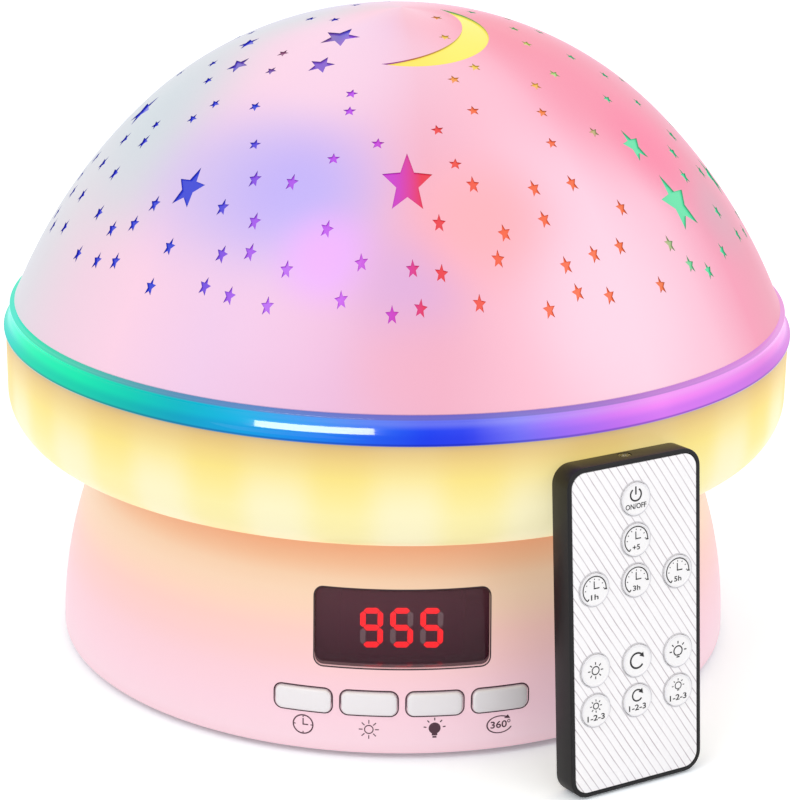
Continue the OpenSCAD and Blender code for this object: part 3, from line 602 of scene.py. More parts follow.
dome = {
    "crownR": 94.0,
    "crownAngle": 44.0,
    "flankR": 140.0,
    "edgeR": 97.2,
    "wall": 2.0,
    "lipWidth": 6.4,
    "lipThick": 2.0,
    "crownRows": 7,
    "flankRows": 6,
    "starSmall": 1.6,
    "starStretch": 1.5,
    "starLarge": 6.0,
    "starWaist": 0.44,
    "starPitch": 17.0,
    "starDense": 11.5,
    "singleStretch": 1.35,
    "stretchFrom": 40,
    "toolHalf": 6,
    "moonR": 19.6,
    "moonPlace": (11.0, -86.5),
    "moonOut": 64.0,
    "moonBite": 1.14,
    "clear": 2.6,
    "paneDepth": 0.35,
    "paneThick": 0.5,
}
# how far the small stars stray from their rows, in degrees, and from even steps along them
scatter = {"crownSway": 1.9, "flankSway": 0.7, "slide": 0.3, "rowTurn": 9, "tilt": 9}
# angle from the pole, azimuth from the front towards +X, share of the largest star's size
singleStars = [
    (45, 0, 1), (48, -44, 0.72), (51, 58, 1), (44, 57, 0.62), (16, -36, 0.85), (24, -31, 0.58),
    (28, -64, 0.55), (24, -80, 0.5), (43, -84, 0.66), (52, 85, 0.75), (33, 112, 0.6), (50, 128, 0.9),
    (22, 150, 0.55), (44, 172, 1), (30, -165, 0.6), (51, -142, 0.8), (20, -120, 0.5), (40, -112, 0.6),
]
flankX = (dome["crownR"] - dome["flankR"]) * math.sin(math.radians(dome["crownAngle"]))
edgeAngle = math.degrees(math.asin((dome["edgeR"] - flankX) / dome["flankR"]))
flankZ = -dome["flankR"] * math.cos(math.radians(edgeAngle))
crownZ = flankZ - (dome["crownR"] - dome["flankR"]) * math.cos(math.radians(dome["crownAngle"]))


def domeAt(degrees, depth):
    # radius and height over the lower edge, for a normal that leans from the axis
    lean = math.radians(degrees)
    if degrees <= dome["crownAngle"]:
        reach = dome["crownR"] - depth
        return reach * math.sin(lean), crownZ + reach * math.cos(lean)
    reach = dome["flankR"] - depth
    return flankX + reach * math.sin(lean), flankZ + reach * math.cos(lean)


def domeLine(depth, steps=72):
    line = []
    for i in range(steps + 1):
        radius, height = domeAt(edgeAngle * i / steps, depth)
        line.append((max(radius, 0.0), height + lamp["domeZ"]))
    return line


def rowAngle(row):
    if row < dome["crownRows"]:
        return dome["crownAngle"] * (row + 0.5) / dome["crownRows"]
    past = row - dome["crownRows"] + 0.5
    return dome["crownAngle"] + (edgeAngle - dome["crownAngle"]) * past / dome["flankRows"]


def sinDegrees(degrees):
    return math.sin(math.radians(degrees))


def spot(degrees, azimuth):
    radius, height = domeAt(degrees, 0)
    return Vector((*polar(radius, azimuth), height))


def offSingles(point):
    for lean, azimuth, share in singleStars:
        reach = dome["starStretch"] * share * dome["starLarge"] + dome["clear"]
        if (point - spot(lean, azimuth - 90)).length <= reach:
            return False
    return True


def offMoon(point):
    lean, azimuth = dome["moonPlace"]
    centre = spot(lean, azimuth).xy
    inner = centre - Vector(polar(1, azimuth + dome["moonOut"])) * dome["moonR"] / 2
    outside = (point.xy - centre).length > dome["moonR"] + dome["clear"]
    return outside or (point.xy - inner).length < dome["moonBite"] * dome["moonR"] - dome["clear"]


def windowMatrix(lean, azimuth):
    radius, height = domeAt(lean, 0)
    local = moved(radius, 0, height + lamp["domeZ"]) @ turned(lean, "Y")
    return turned(azimuth) @ local


def makeStar(tip, stretch, turn):
    # ten points, every second one drawn in to the waist, raised to a prism
    star = flatShape([polar(tip * (1 if i % 2 == 0 else dome["starWaist"]), 36 * i) for i in range(10)])
    star.data.transform(turned(turn))
    star.data.transform(Matrix.Diagonal((stretch, 1, 1, 1)))
    raisePrism(star)
    return star


def raisePrism(piece):
    openMesh(piece, selected=True)
    bpy.ops.transform.translate(value=(0, 0, -dome["toolHalf"] * mm))
    thicken(2 * dome["toolHalf"])


def makeMoon():
    radius = dome["moonR"]
    bpy.ops.mesh.primitive_circle_add(vertices=160, radius=radius * mm, fill_type="NGON")
    moon = bpy.context.object
    raisePrism(moon)
    cut(moon, rod(dome["moonBite"] * radius, 20, (-radius / 2, 0, 0), 160))
    moon.data.transform(turned(dome["moonOut"]))
    return place(moon, windowMatrix(*dome["moonPlace"]))


def makeStars():
    stars = []
    for row in range(1, dome["crownRows"] + 4):
        crown = row < dome["crownRows"]
        pitch = dome["starPitch"] if row < dome["crownRows"] + 2 else dome["starDense"]
        sway = scatter["crownSway"] if crown else scatter["flankSway"]
        count = math.floor(math.tau * domeAt(rowAngle(row), 0)[0] / pitch)
        for i in range(count):
            lean = rowAngle(row) + sway * sinDegrees(137 * i + 50 * row)
            azimuth = 360 * (i + scatter["slide"] * sinDegrees(100 * i)) / count + scatter["rowTurn"] * row
            point = spot(lean, azimuth)
            if offSingles(point) and offMoon(point):
                turn = 180 + scatter["tilt"] * sinDegrees(70 * i)
                star = makeStar(dome["starSmall"], 1 if crown else dome["starStretch"], turn)
                stars.append(place(star, windowMatrix(lean, azimuth)))
    for lean, azimuth, share in singleStars:
        stretch = dome["singleStretch"] if lean > dome["stretchFrom"] else 1
        star = makeStar(dome["starLarge"] * share, stretch, 180)
        stars.append(place(star, windowMatrix(lean, azimuth - 90)))
    return join(stars, "starTool")


def domeShell():
    edge, low = dome["edgeR"], lamp["domeZ"]
    lip = low + dome["lipThick"]
    lipInner = edge - dome["wall"] - dome["lipWidth"]
    inner = [point for point in domeLine(dome["wall"]) if point[1] > lip + 0.3]
    bottom = [(edge - 0.02, low + 0.25), (edge - 0.25, low), (lipInner + 0.4, low), (lipInner, low + 0.4),
              (lipInner, lip), (inner[-1][0] + 0.1, lip)]
    return lathe("domeShell", domeLine(0)[:-1] + bottom + inner[::-1])


def layPatches(tree, patches, colour):
    # lays soft patches over a first colour, each with its centre, radius, strength and tone
    for centre, radius, strength, tone in patches:
        mask = useGroup(tree, "spot", Centre=[value * mm for value in centre], Radius=radius * mm,
                        Strength=strength)
        colour = mixColours(tree, mask[0], colour, linear(*tone))
    return colour


def shellWithPaintedLight():
    material, tree, shader = startMaterial("shellWithPaintedLight", Coat_Weight=0.2, Coat_Roughness=0.2,
                                           Specular_IOR_Level=0.35)
    # the pink shell's colour round the lamp, with the inside LEDs' coloured light painted on it and painted
    # shade, darker pink on the right
    sides = ramp(tree, roundLamp(tree)[0], [
        (0.0, 244, 205, 228), (0.12, 222, 214, 240), (0.25, 212, 214, 221),
        (0.29, 219, 212, 220), (0.339, 240, 207, 224), (0.375, 250, 208, 228),
        (0.417, 240, 202, 232), (0.472, 236, 186, 218), (0.511, 242, 178, 198),
        (0.55, 250, 190, 208), (0.597, 254, 208, 226), (0.639, 252, 194, 214),
        (0.672, 246, 152, 180), (0.708, 236, 140, 166), (0.84, 255, 178, 206),
        (1.0, 244, 205, 228)])
    # soft patches of the inside LEDs' light painted on the shell, and a few greyer or darker patches of
    # painted shade
    colour = layPatches(tree, [
        ((-20, -34, 153), 48, 0.85, (249, 211, 231)),
        ((0, 0, 162), 26, 0.7, (247, 194, 210)),
        ((26, -12, 158), 34, 0.9, (245, 136, 158)),
        ((44, -28, 147), 42, 0.85, (247, 139, 166)),
        ((-58, -18, 140), 38, 0.8, (202, 215, 221)),
        ((-61, -35, 128), 28, 0.6, (204, 216, 222)),
        ((-43, -54, 132), 34, 0.8, (202, 188, 240)),
        ((-25, -65, 132), 32, 0.95, (192, 176, 246)),
        ((-18, -78, 120), 18, 0.95, (236, 174, 251)),
        ((0, -83, 115), 22, 0.75, (220, 172, 222)),
        ((2, -93, 99), 22, 0.6, (242, 176, 198)),
        ((17, -72, 127), 26, 0.9, (255, 178, 186)),
        ((48, -75, 106), 34, 0.85, (254, 212, 229)),
        ((76, -28, 118), 20, 0.6, (212, 164, 182)),
        ((60, -29, 134), 24, 0.85, (250, 128, 163)),
        ((-70, 45, 125), 50, 0.6, (190, 216, 250)),
        ((20, 80, 118), 55, 0.7, (205, 196, 250)),
        ((75, 50, 118), 45, 0.6, (255, 200, 170)),
    ], sides)
    glowing(tree, shader, colour, 0.42, 0.7)
    addGrain(tree, shader, 700.0, 0.36, 0.05, 0.03)
    return material


def windowColours(tree):
    sides = ramp(tree, roundLamp(tree)[0], [
        (0.0, 120, 80, 235), (0.08, 30, 150, 235), (0.17, 20, 60, 220),
        (0.3, 24, 34, 205), (0.4, 40, 60, 215), (0.425, 165, 80, 235),
        (0.47, 196, 70, 235), (0.494, 205, 50, 200), (0.508, 235, 40, 70),
        (0.545, 250, 100, 62), (0.62, 248, 116, 66), (0.648, 90, 225, 165),
        (0.78, 60, 222, 165), (0.86, 250, 160, 60), (0.93, 235, 80, 150),
        (1.0, 120, 80, 235)])
    return layPatches(tree, [
        ((22, -24, 158), 34, 1.0, (246, 226, 96)),
        ((-28, -21, 158), 22, 0.8, (168, 96, 84)),
        ((-18, -34, 155), 14, 0.9, (122, 78, 200)),
        ((52, -20, 150), 26, 0.7, (96, 220, 165)),
    ], sides)


def litWindow(name, share, paintedRecessShade):
    material, tree, shader = startMaterial(name, Coat_Weight=0.3, Coat_Roughness=0.12)
    # painted shade darkens the colour towards black: half on the walls of the holes, none on the panes
    toned = mixColours(tree, paintedRecessShade, windowColours(tree), (0.02, 0.01, 0.03, 1))
    glowing(tree, shader, toned, share)
    addGrain(tree, shader, 1200.0, 0.25, 0.04, 0.03, 0.0001)
    return material


def moonYellow():
    material, tree, shader = startMaterial("moonYellow", Coat_Weight=0.3, Coat_Roughness=0.12)
    colour = ramp(tree, roundLamp(tree)[0], [
        (0.4, 246, 214, 74), (0.56, 255, 238, 92), (0.7, 252, 232, 70)])
    glowing(tree, shader, colour, 0.7)
    addGrain(tree, shader, 1200.0, 0.25, 0.04)
    return material


def makeDome():
    starTool, moonTool = makeStars(), makeMoon()
    # the walls of the star holes glow with the windows' colour as painted light, half darkened as painted
    # shade inside the holes
    edge = litWindow("windowEdge", 0.45, 0.5)
    shell = dress(domeShell(), shellWithPaintedLight())
    panes = []
    for name, tool in (("starPanes", starTool), ("moonPane", moonTool)):
        dress(tool, edge)
        outer = domeLine(dome["paneDepth"], steps=60)
        inner = domeLine(dome["paneDepth"] + dome["paneThick"], steps=60)
        pane = lathe(name, outer + inner[::-1], steps=144)
        applyModifier(pane, "BOOLEAN", object=tool, operation="INTERSECT", solver="EXACT")
        cut(shell, tool, material_mode="TRANSFER")
        panes.append(smooth(pane, 30))
    finishPiece(smooth(shell, 30), "dome", replaced=["star_dome"])
    for pane, material in zip(panes, (litWindow("windowPane", 0.72, 0.0), moonYellow())):
        finishPiece(pane, "dome", material)
    print("dome made:", len(shell.data.polygons), "faces,", len(panes[0].data.polygons), "pane faces")


makeDome()

# light ring and diffuser

ring = {
    "outerR": 100.0,
    "topR": 98.4,
    "innerR": 94.0,
    "height": 6.0,
    "lip": 0.6,
    "hollow": 0.8,
    "edgeRound": 0.18,
}


def bandRadius(share):
    fall = (ring["outerR"] - ring["topR"]) * share
    return ring["outerR"] - fall - ring["hollow"] * (1 - (2 * share - 1) ** 4)


def ringBand():
    low = lamp["ringZ"]
    high = low + ring["height"]
    soft = ring["edgeRound"]
    band = ring["height"] - 2 * ring["lip"]
    points = [(ring["innerR"], low), (ring["outerR"] - soft, low)]
    points += arc(ring["outerR"] - soft, low + soft, soft, -75, 0, 4)
    points += [(bandRadius(i / 20), low + ring["lip"] + band * i / 20) for i in range(21)]
    points += arc(ring["topR"] - soft, high - soft, soft, 0, 90, 4)
    points += [(ring["innerR"], high), (ring["innerR"], low)]
    return lathe("lightRing", points, steps=240)


def betweenHeights(tree, height, low, high, first, last, kind="SMOOTHSTEP"):
    return remap(tree, height, low * mm, high * mm, first, last, kind)


def fromFront(tree, turn):
    # how far round the lamp a point is from the front, either way
    return math2(tree, "ABSOLUTE", math2(tree, "SUBTRACT", turn, 0.5))


def ringLight():
    material, tree, shader = startMaterial("ringLight", Coat_Weight=0.22, Coat_Roughness=0.04,
                                           Specular_IOR_Level=0.04)
    turn, height = roundLamp(tree)
    sides = ramp(tree, turn, [
        (0.0, 250, 200, 70), (0.07, 150, 225, 80), (0.16, 20, 240, 170),
        (0.29, 4, 246, 210), (0.32, 0, 246, 184), (0.36, 0, 234, 178),
        (0.39, 0, 208, 184), (0.412, 0, 186, 200), (0.44, 4, 180, 232),
        (0.466, 14, 146, 246), (0.488, 34, 104, 246), (0.506, 26, 68, 244),
        (0.522, 50, 70, 243), (0.54, 128, 124, 252), (0.556, 172, 120, 251),
        (0.58, 220, 124, 246), (0.6, 248, 138, 250), (0.644, 240, 136, 242),
        (0.67, 236, 132, 230), (0.7, 248, 150, 234), (0.78, 248, 130, 200),
        (0.87, 252, 130, 110), (0.94, 252, 176, 70), (1.0, 250, 200, 70)])
    low, top = lamp["ringZ"], lamp["ringTop"]
    # painted shade: the lower part of the band is darker
    deep = shaded(tree, betweenHeights(tree, height, low + 1.4, low + 3.4, 0.5, 0.0), sides, 186, 196, 244)
    # painted highlight: the upper part of the band turns paler from just left of the front round the right
    # side to the back
    front = remap(tree, turn, 0.42, 0.5, 0.0, 0.12)
    high = math2(tree, "MULTIPLY", front, betweenHeights(tree, height, top - 3.0, top - 1.2, 0.0, 1.0))
    pale = mixColours(tree, high, deep, (1, 1, 1, 1))
    # painted shade: a thin darker line along the top edge, strongest in front, in the gap under the dome
    middle = remap(tree, fromFront(tree, turn), 0.06, 0.2, 1.0, 0.3)
    paintedRingGapShade = math2(tree, "MULTIPLY", middle, betweenHeights(tree, height, top - 0.5, top - 0.2, 0.0, 0.6))
    edge = mixColours(tree, paintedRingGapShade, pale, linear(112, 100, 170))
    seam = shaded(tree, betweenHeights(tree, height, low + 0.5, low + 0.75, 0.55, 0.0), edge, 96, 120, 176)
    paleLip = math2(tree, "MULTIPLY", betweenHeights(tree, height, low + 0.12, low + 0.3, 0.85, 0.0),
                    math2(tree, "SUBTRACT", 1.15, middle))
    colour = mixColours(tree, paleLip, seam, linear(240, 252, 252))
    glowing(tree, shader, colour, 0.9, 0.7)
    addGrain(tree, shader, 300.0, 0.16, 0.04, 0.02)
    return material


lightRing = finishPiece(smooth(ringBand()), "base", ringLight(), ["light_ring"])
lightStrip(lightRing)

diffuser = {
    "height": 27.5,
    "round": 12.0,
    "wall": 2.0,
    "holeR": 70.2,
    "ledCount": 21,
    "ledShift": 0.5,
}


def diffuserShell():
    radius, low = lamp["diffuserR"], lamp["baseTop"]
    high = low + diffuser["height"]
    bend, wall = diffuser["round"], diffuser["wall"]
    points = [(radius, high), (radius, low + bend + 6)] + arc(radius - bend, low + bend, bend, 0, -90, 24)
    points += [(diffuser["holeR"], low), (diffuser["holeR"], low + wall)]
    points += arc(radius - bend, low + bend, bend - wall, -90, 0, 16)
    return lathe("diffuserShell", points + [(radius - wall, high), (radius, high)])


def warmDiffuser():
    material, tree, shader = startMaterial("warmDiffuser", Coat_Weight=0.1, Coat_Roughness=0.2,
                                           Specular_IOR_Level=0.2)
    turn, height = roundLamp(tree)
    low = lamp["baseTop"]
    # one soft patch of light for each diode behind the wall
    beat = math2(tree, "ADD", math2(tree, "MULTIPLY", turn, diffuser["ledCount"]), diffuser["ledShift"])
    wave = math2(tree, "COSINE", math2(tree, "MULTIPLY", beat, math.tau))
    patch = remap(tree, wave, -1.0, 1.0, 0.0, 0.55)
    fade = betweenHeights(tree, height, low + 11, low + 25, 1.0, 0.15)
    # warm yellow by height, a little darker at the very bottom, and darker towards the top as painted shade
    # under the ring
    toneAndPaintedShade = ramp(tree, betweenHeights(tree, height, low, lamp["ringZ"], 0.0, 1.0, "LINEAR"), [
        (0.0, 250, 226, 164), (0.1, 253, 242, 180), (0.38, 254, 243, 174),
        (0.54, 254, 238, 155), (0.7, 252, 230, 136), (0.84, 242, 212, 130),
        (0.94, 228, 194, 124), (1.0, 206, 176, 132)])
    warmer = remap(tree, turn, 0.63, 0.67, 0.0, 1.0)
    warmer = math2(tree, "MULTIPLY", warmer, betweenHeights(tree, height, low + 6, low + 12, 0.0, 0.6))
    toneAndPaintedShade = shaded(tree, warmer, toneAndPaintedShade, 254, 246, 206)
    # painted shade: darker round the sides, from about 60 to 85 degrees either side of the front
    side = remap(tree, fromFront(tree, turn), 0.165, 0.235, 0.0, 0.75)
    toneAndPaintedShade = shaded(tree, side, toneAndPaintedShade, 236, 222, 186)
    colour = mixColours(tree, math2(tree, "MULTIPLY", patch, fade), toneAndPaintedShade, linear(255, 252, 226))
    glowing(tree, shader, uneven(tree, colour, linear(252, 226, 150), 14.0, 0.16), 0.66, 0.75)
    addGrain(tree, shader, 500.0, 0.34, 0.05, 0.02)
    return material


finishPiece(smooth(diffuserShell()), "base", warmDiffuser(), ["diffuser"])
print("light ring and diffuser made")

# slabs that follow the base's curved front wall


def roundedSlab(name, width, height, radius, thick, rim=0.0, segments=7):
    # lies flat: back at z = 0, front at z = thick, with a soft front rim
    clearSelection()
    bpy.ops.mesh.primitive_cube_add(size=mm)
    slab = bpy.context.object
    slab.name = name
    slab.data.transform(Matrix.Translation((0, 0, thick * mm / 2))
                        @ Matrix.Diagonal((width, height, thick, 1)))
    selectEdges(slab, lambda a, b: abs(a.x - b.x) < tiny and abs(a.y - b.y) < tiny)
    bpy.ops.mesh.bevel(offset=radius * mm, segments=segments, affect="EDGES")
    closeMesh()
    if rim:
        bevelFaces(slab, 1, rim, 3)
    return slab


def addCuts(piece, step):
    # extra edges every step millimetres both ways, so that the piece can bend
    corners = [Vector(corner) / mm for corner in piece.bound_box]
    openMesh(piece, selected=True)
    for axis in (0, 1):
        low = min(corner[axis] for corner in corners)
        high = max(corner[axis] for corner in corners)
        count = max(1, round((high - low) / step))
        for i in range(1, count):
            normal = Vector((0, 0, 0))
            normal[axis] = 1
            bpy.ops.mesh.select_all(action="SELECT")
            bpy.ops.mesh.bisect(plane_co=normal * (low + (high - low) * i / count) * mm, plane_no=normal)
    closeMesh()
    return piece


def wallAt(height, depth):
    # radius of the base wall, at a height over its lower edge and a depth under its outer face
    return lamp["baseR"] - lamp["baseCurveR"] + math.sqrt((lamp["baseCurveR"] - depth) ** 2 - height ** 2)


def wrapOnWall(piece, x, z):
    # local x runs across, y up, and z out of the wall's outer face
    for vertex in piece.data.vertices:
        across = vertex.co.x / mm + x
        level = vertex.co.y / mm + z
        radius = wallAt(level - lamp["footZ"], -vertex.co.z / mm)
        vertex.co = Vector((across, -math.sqrt(radius ** 2 - across ** 2), level)) * mm
    return piece


def wallSlab(name, width, height, radius, front, back, x, z, rim=0.0, step=2.0):
    # front and back are depths under the wall's outer face
    slab = roundedSlab(name, width, height, radius, back - front, rim)
    shift(slab, 0, 0, -back)
    return wrapOnWall(addCuts(slab, step), x, z)


def frontTool(width, height, radius, x, z):
    # straight prism through the front wall
    tool = roundedSlab("frontTool", width, height, radius, lamp["toolDepth"])
    return place(tool, moved(x, -lamp["toolStart"], z) @ turned(90, "X"))


# base housing

base = {
    "height": 54.0,
    "shoulderInner": 59.0,
    "shoulderThick": 2.4,
    "footRound": 0.8,
    "shoulderRound": 1.0,
}
panel = {
    "width": 41.0,
    "height": 17.6,
    "round": 2.0,
    "z": 31.4,
    "sunk": 0.3,
    "lensThick": 1.2,
    "lensRound": 1.9,
    # width of the frame of painted shade round the opening
    "line": 0.3,
    "flange": 1.1,
    "gap": 0.1,
}
keys = {
    "width": 13.0,
    "height": 5.4,
    "pitch": 15.4,
    "z": 14.2,
    "proud": 0.9,
    "gap": 0.2,
    "round": 1.6,
    "holeRound": 1.8,
    "flange": 1.1,
    "flangeThick": 1.2,
    "rim": 0.55,
    # width of the frame of painted shade round each key's opening
    "line": 0.28,
    "stemR": 1.6,
    "iconZ": 7.8,
}
inlet = {"width": 8.94, "height": 3.26, "z": 14.0, "gap": 0.2}
# how deep printed signs and the frames of painted shade round the openings sit in what carries them, and how
# far they stand proud of it
ink = {"sunk": 0.02, "proud": 0.03, "wallSunk": 0.06, "wallProud": 0.05, "shadeFrameThick": 0.1}
keyNames = ("timer_key", "warm_key", "colour_key", "turn_key")
panelHole = (panel["width"], panel["height"], panel["round"])
keyHole = (keys["width"] + 2 * keys["gap"], keys["height"] + 2 * keys["gap"], keys["holeRound"])


def keyX(index):
    return (index - 1.5) * keys["pitch"]


def shadeFrame(width, height, radius, line, x, z):
    # thin dark frame of painted shade round an opening in the front wall, where the gap round a key or the
    # lens is in shadow
    border = roundedSlab("shadeFrame", width + 2 * line, height + 2 * line, radius + line, ink["shadeFrameThick"])
    cut(border, shift(roundedSlab("frameTool", width, height, radius, 2), 0, 0, -1))
    return wrapOnWall(addCuts(shift(border, 0, 0, -ink["wallSunk"]), 2.0), x, z)


def baseShell():
    low, top, foot, soft = lamp["footZ"], base["height"], base["footRound"], base["shoulderRound"]
    shoulder = top - base["shoulderThick"]
    outer = arc(lamp["baseR"] - foot, low + foot, foot, -90, 0, 5)
    for i in range(1, 37):
        height = foot + (top - soft - foot) * i / 36
        outer.append((wallAt(height, 0), low + height))
    outer += arc(wallAt(top, 0) - 0.62 * soft, low + top - soft, soft, 28, 90, 5)
    outer += [(base["shoulderInner"], low + top), (base["shoulderInner"], low + top - base["shoulderThick"])]
    inner = [(wallAt(shoulder * i / 16, lamp["baseWall"]), low + shoulder * i / 16)
             for i in range(16, -1, -1)]
    shell = lathe("baseShell", outer + inner + [outer[0]])
    tools = [frontTool(*panelHole, 0, panel["z"])]
    tools += [frontTool(*keyHole, keyX(index), keys["z"]) for index in range(4)]
    port = roundedSlab("portTool", inlet["width"] + 2 * inlet["gap"], inlet["height"] + 2 * inlet["gap"],
                       inlet["height"] / 2, 30)
    tools.append(place(port, moved(0, 100, inlet["z"]) @ turned(90, "X")))
    return cut(shell, join(tools, "wallTools"))


def blushWithPaintedGlow():
    material, tree, shader = startMaterial("blushWithPaintedGlow", Coat_Weight=0.15, Coat_Roughness=0.2,
                                           Specular_IOR_Level=0.3)
    level = betweenHeights(tree, roundLamp(tree)[1], 0, lamp["baseTop"], 0.0, 1.0, "LINEAR")
    # pink by height, a little darker at the very bottom, turning peach and orange towards the top: a painted
    # warm glow where the diffuser's light falls on the base
    paintedLightByHeight = ramp(tree, level, [
        (0.0, 253, 214, 225), (0.08, 255, 221, 233), (0.2, 255, 216, 229),
        (0.34, 254, 211, 220), (0.44, 254, 208, 208), (0.54, 255, 209, 199),
        (0.64, 255, 218, 192), (0.7, 255, 221, 190), (0.76, 255, 217, 182),
        (0.82, 255, 200, 158), (0.88, 254, 184, 140), (1.0, 253, 172, 122)])
    # painted glow: part of the base's colour shines by itself, though the base holds no lamp
    glowing(tree, shader, uneven(tree, paintedLightByHeight, linear(250, 190, 200), 12.0, 0.1), 0.44, 0.25)
    addGrain(tree, shader, 800.0, 0.38, 0.05, 0.04)
    return material


finishPiece(smooth(baseShell(), 32), "base", blushWithPaintedGlow(), ["base_housing"])
print("base shell made")

# lamp keys and the display

keyWhite = plastic("keyWhite", (244, 240, 243), (226, 216, 222), roughness=0.32, Coat_Weight=0.3,
                   Coat_Roughness=0.15)


def lampKey(index):
    depth, thick, flange = lamp["baseWall"] + panel["gap"], keys["flangeThick"], keys["flange"]
    x, z = keyX(index), keys["z"]
    cap = wallSlab("keyCap", keys["width"], keys["height"], keys["round"], -keys["proud"], depth + 0.2, x, z,
                   rim=keys["rim"], step=1.6)
    rest = wallSlab("keyRest", keys["width"] + 2 * flange, keys["height"] + 2 * flange, 2, depth,
                    depth + thick, x, z)
    stemEnd = -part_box(keyNames[index])[1].y / mm
    length = wallAt(z - lamp["footZ"], depth + thick / 2) - stemEnd
    stem = rod(keys["stemR"], length, (x, -(stemEnd + length / 2), z), 32, standing=False)
    return smooth(join([cap, rest, stem], keyNames[index].split("_")[0] + "Key"))


for index, name in enumerate(keyNames):
    finishPiece(lampKey(index), name, keyWhite, [name])


def smokedLens():
    material, tree, shader = startMaterial("smokedLens", Roughness=0.06, Coat_Weight=0.2,
                                           Coat_Roughness=0.03, Specular_IOR_Level=0.25, Alpha=0.6)
    # painted reflection: the lens is darker at the bottom and lighter towards the top, where it would mirror
    # the bright room above
    level = betweenHeights(tree, roundLamp(tree)[1], panel["z"] - 9, panel["z"] + 9, 0.0, 1.0, "LINEAR")
    paintedLightByHeight = ramp(tree, level, [(0.0, 66, 26, 40), (0.4, 84, 40, 56), (1.0, 104, 58, 72)])
    connect(tree, shader, Base_Color=paintedLightByHeight)
    addGrain(tree, shader, 60.0, 0.06, 0.02)
    return material


def displayLens():
    depth, thick = lamp["baseWall"] + panel["gap"], panel["lensThick"]
    width, height, corner, flange = panel["width"], panel["height"], panel["lensRound"], panel["flange"]
    front = wallSlab("lensFront", width - 2 * panel["gap"], height - 2 * panel["gap"], corner,
                     panel["sunk"], depth + thick, 0, panel["z"], rim=0.3)
    edge = roundedSlab("lensFlange", width + 2 * flange, height + 2 * flange, 2.8, thick)
    hole = roundedSlab("flangeTool", width - 0.2, height - 0.2, corner, 4)
    shift(cut(edge, shift(hole, 0, 0, -1)), 0, 0, -(depth + thick))
    wrapOnWall(addCuts(edge, 2.0), 0, panel["z"])
    return smooth(join([front, edge], "displayLens"))


finishPiece(displayLens(), "base", smokedLens(), ["display_lens"])

digits = {
    "shown": "955",
    "height": 10.0,
    "width": 5.4,
    "pitch": 7.1,
    "bar": 1.3,
    "gap": 0.42,
    "raised": 0.5,
}
litBars = {"9": "abcdfg", "5": "acdfg"}


def segmentBar(length, raised):
    # a bar along x with pointed ends, raised from z = 0
    half, reach = digits["bar"] / 2, length / 2
    bar = flatShape([(reach, 0), (reach - half, half), (half - reach, half), (-reach, 0),
                     (half - reach, -half), (reach - half, -half)])
    openMesh(bar, selected=True)
    thicken(raised)
    return bar


def displayPiece():
    lowest, highest = (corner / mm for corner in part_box("display_module"))
    front = lowest.y + digits["raised"] - 0.1
    middle = (lowest.z + highest.z) / 2
    block = roundedSlab("displayBlock", highest.x - lowest.x, highest.z - lowest.z, 0.6, highest.y - front,
                        rim=0.25)
    place(block, moved(0, highest.y, middle) @ turned(90, "X"))
    wide = digits["width"] - digits["bar"]
    tall = (digits["height"] - digits["bar"]) / 2
    spots = {"a": (0, tall, 0), "g": (0, 0, 0), "d": (0, -tall, 0), "f": (-wide / 2, tall / 2, 90),
             "b": (wide / 2, tall / 2, 90), "e": (-wide / 2, -tall / 2, 90), "c": (wide / 2, -tall / 2, 90)}
    lit, unlit = [], []
    for i, number in enumerate(digits["shown"]):
        for letter, (x, y, turn) in spots.items():
            bar = segmentBar((wide if turn == 0 else tall) - digits["gap"], digits["raised"])
            upright = turned(90, "X") @ moved(x + (i - 1) * digits["pitch"], y) @ turned(turn)
            place(bar, moved(0, front + 0.1, middle) @ upright)
            (lit if letter in litBars[number] else unlit).append(bar)
    return smooth(block, 32), join(lit, "litSegments"), join(unlit, "unlitSegments")


def segmentLight(name, colour, deep, strength, roughness):
    material, tree, shader = startMaterial(name, Roughness=roughness, Emission_Strength=strength)
    tint = uneven(tree, colour, deep, 900.0, 0.3)
    connect(tree, shader, Base_Color=tint, Emission_Color=tint)
    return material


segmentRed = segmentLight("segmentRed", (1.0, 0.006, 0.004, 1), (0.8, 0.0, 0.0, 1), 7.0, 0.35)
# the unlit segments get a painted glow, so that they show grey through the smoked lens though they are not
# lit
segmentGreyPaintedGlow = segmentLight("segmentGreyPaintedGlow", linear(150, 140, 142), linear(120, 110, 112), 1.5, 0.4)
block, litSegments, unlitSegments = displayPiece()
darkPlastic = plastic("darkPlastic", (30, 26, 28), (16, 14, 15), roughness=0.5)
finishPiece(block, "base", darkPlastic, ["display_module"])
finishPiece(litSegments, "base", segmentRed)
finishPiece(unlitSegments, "base", segmentGreyPaintedGlow)
print("keys and display made")

# flat drawings for signs: strokes, bars and letters in the XY plane

def sector(inner, outer, start=0, end=360, x=0, y=0):
    steps = max(6, round(abs(end - start) / 7.5))
    piece = walk("stroke", [(inner, 0), (outer, 0)])
    bpy.ops.mesh.select_all(action="SELECT")
    bpy.ops.mesh.spin(steps=steps, angle=math.radians(end - start), center=(0, 0, 0), axis=(0, 0, -1))
    bpy.ops.mesh.select_all(action="SELECT")
    bpy.ops.mesh.remove_doubles(threshold=tiny)
    closeMesh()
    return shift(piece, x, y, turn=start)


def strokeArc(radius, stroke, start=0, end=360, x=0, y=0):
    return sector(radius - stroke / 2, radius + stroke / 2, start, end, x, y)


def strokeBar(x0, y0, x1, y1, stroke):
    length = math.hypot(x1 - x0, y1 - y0)
    clearSelection()
    bpy.ops.mesh.primitive_plane_add(size=mm)
    bar = bpy.context.object
    bar.data.transform(Matrix.Diagonal((length, stroke, 1, 1)))
    return shift(bar, (x0 + x1) / 2, (y0 + y1) / 2,
                 turn=math.degrees(math.atan2(y1 - y0, x1 - x0)))


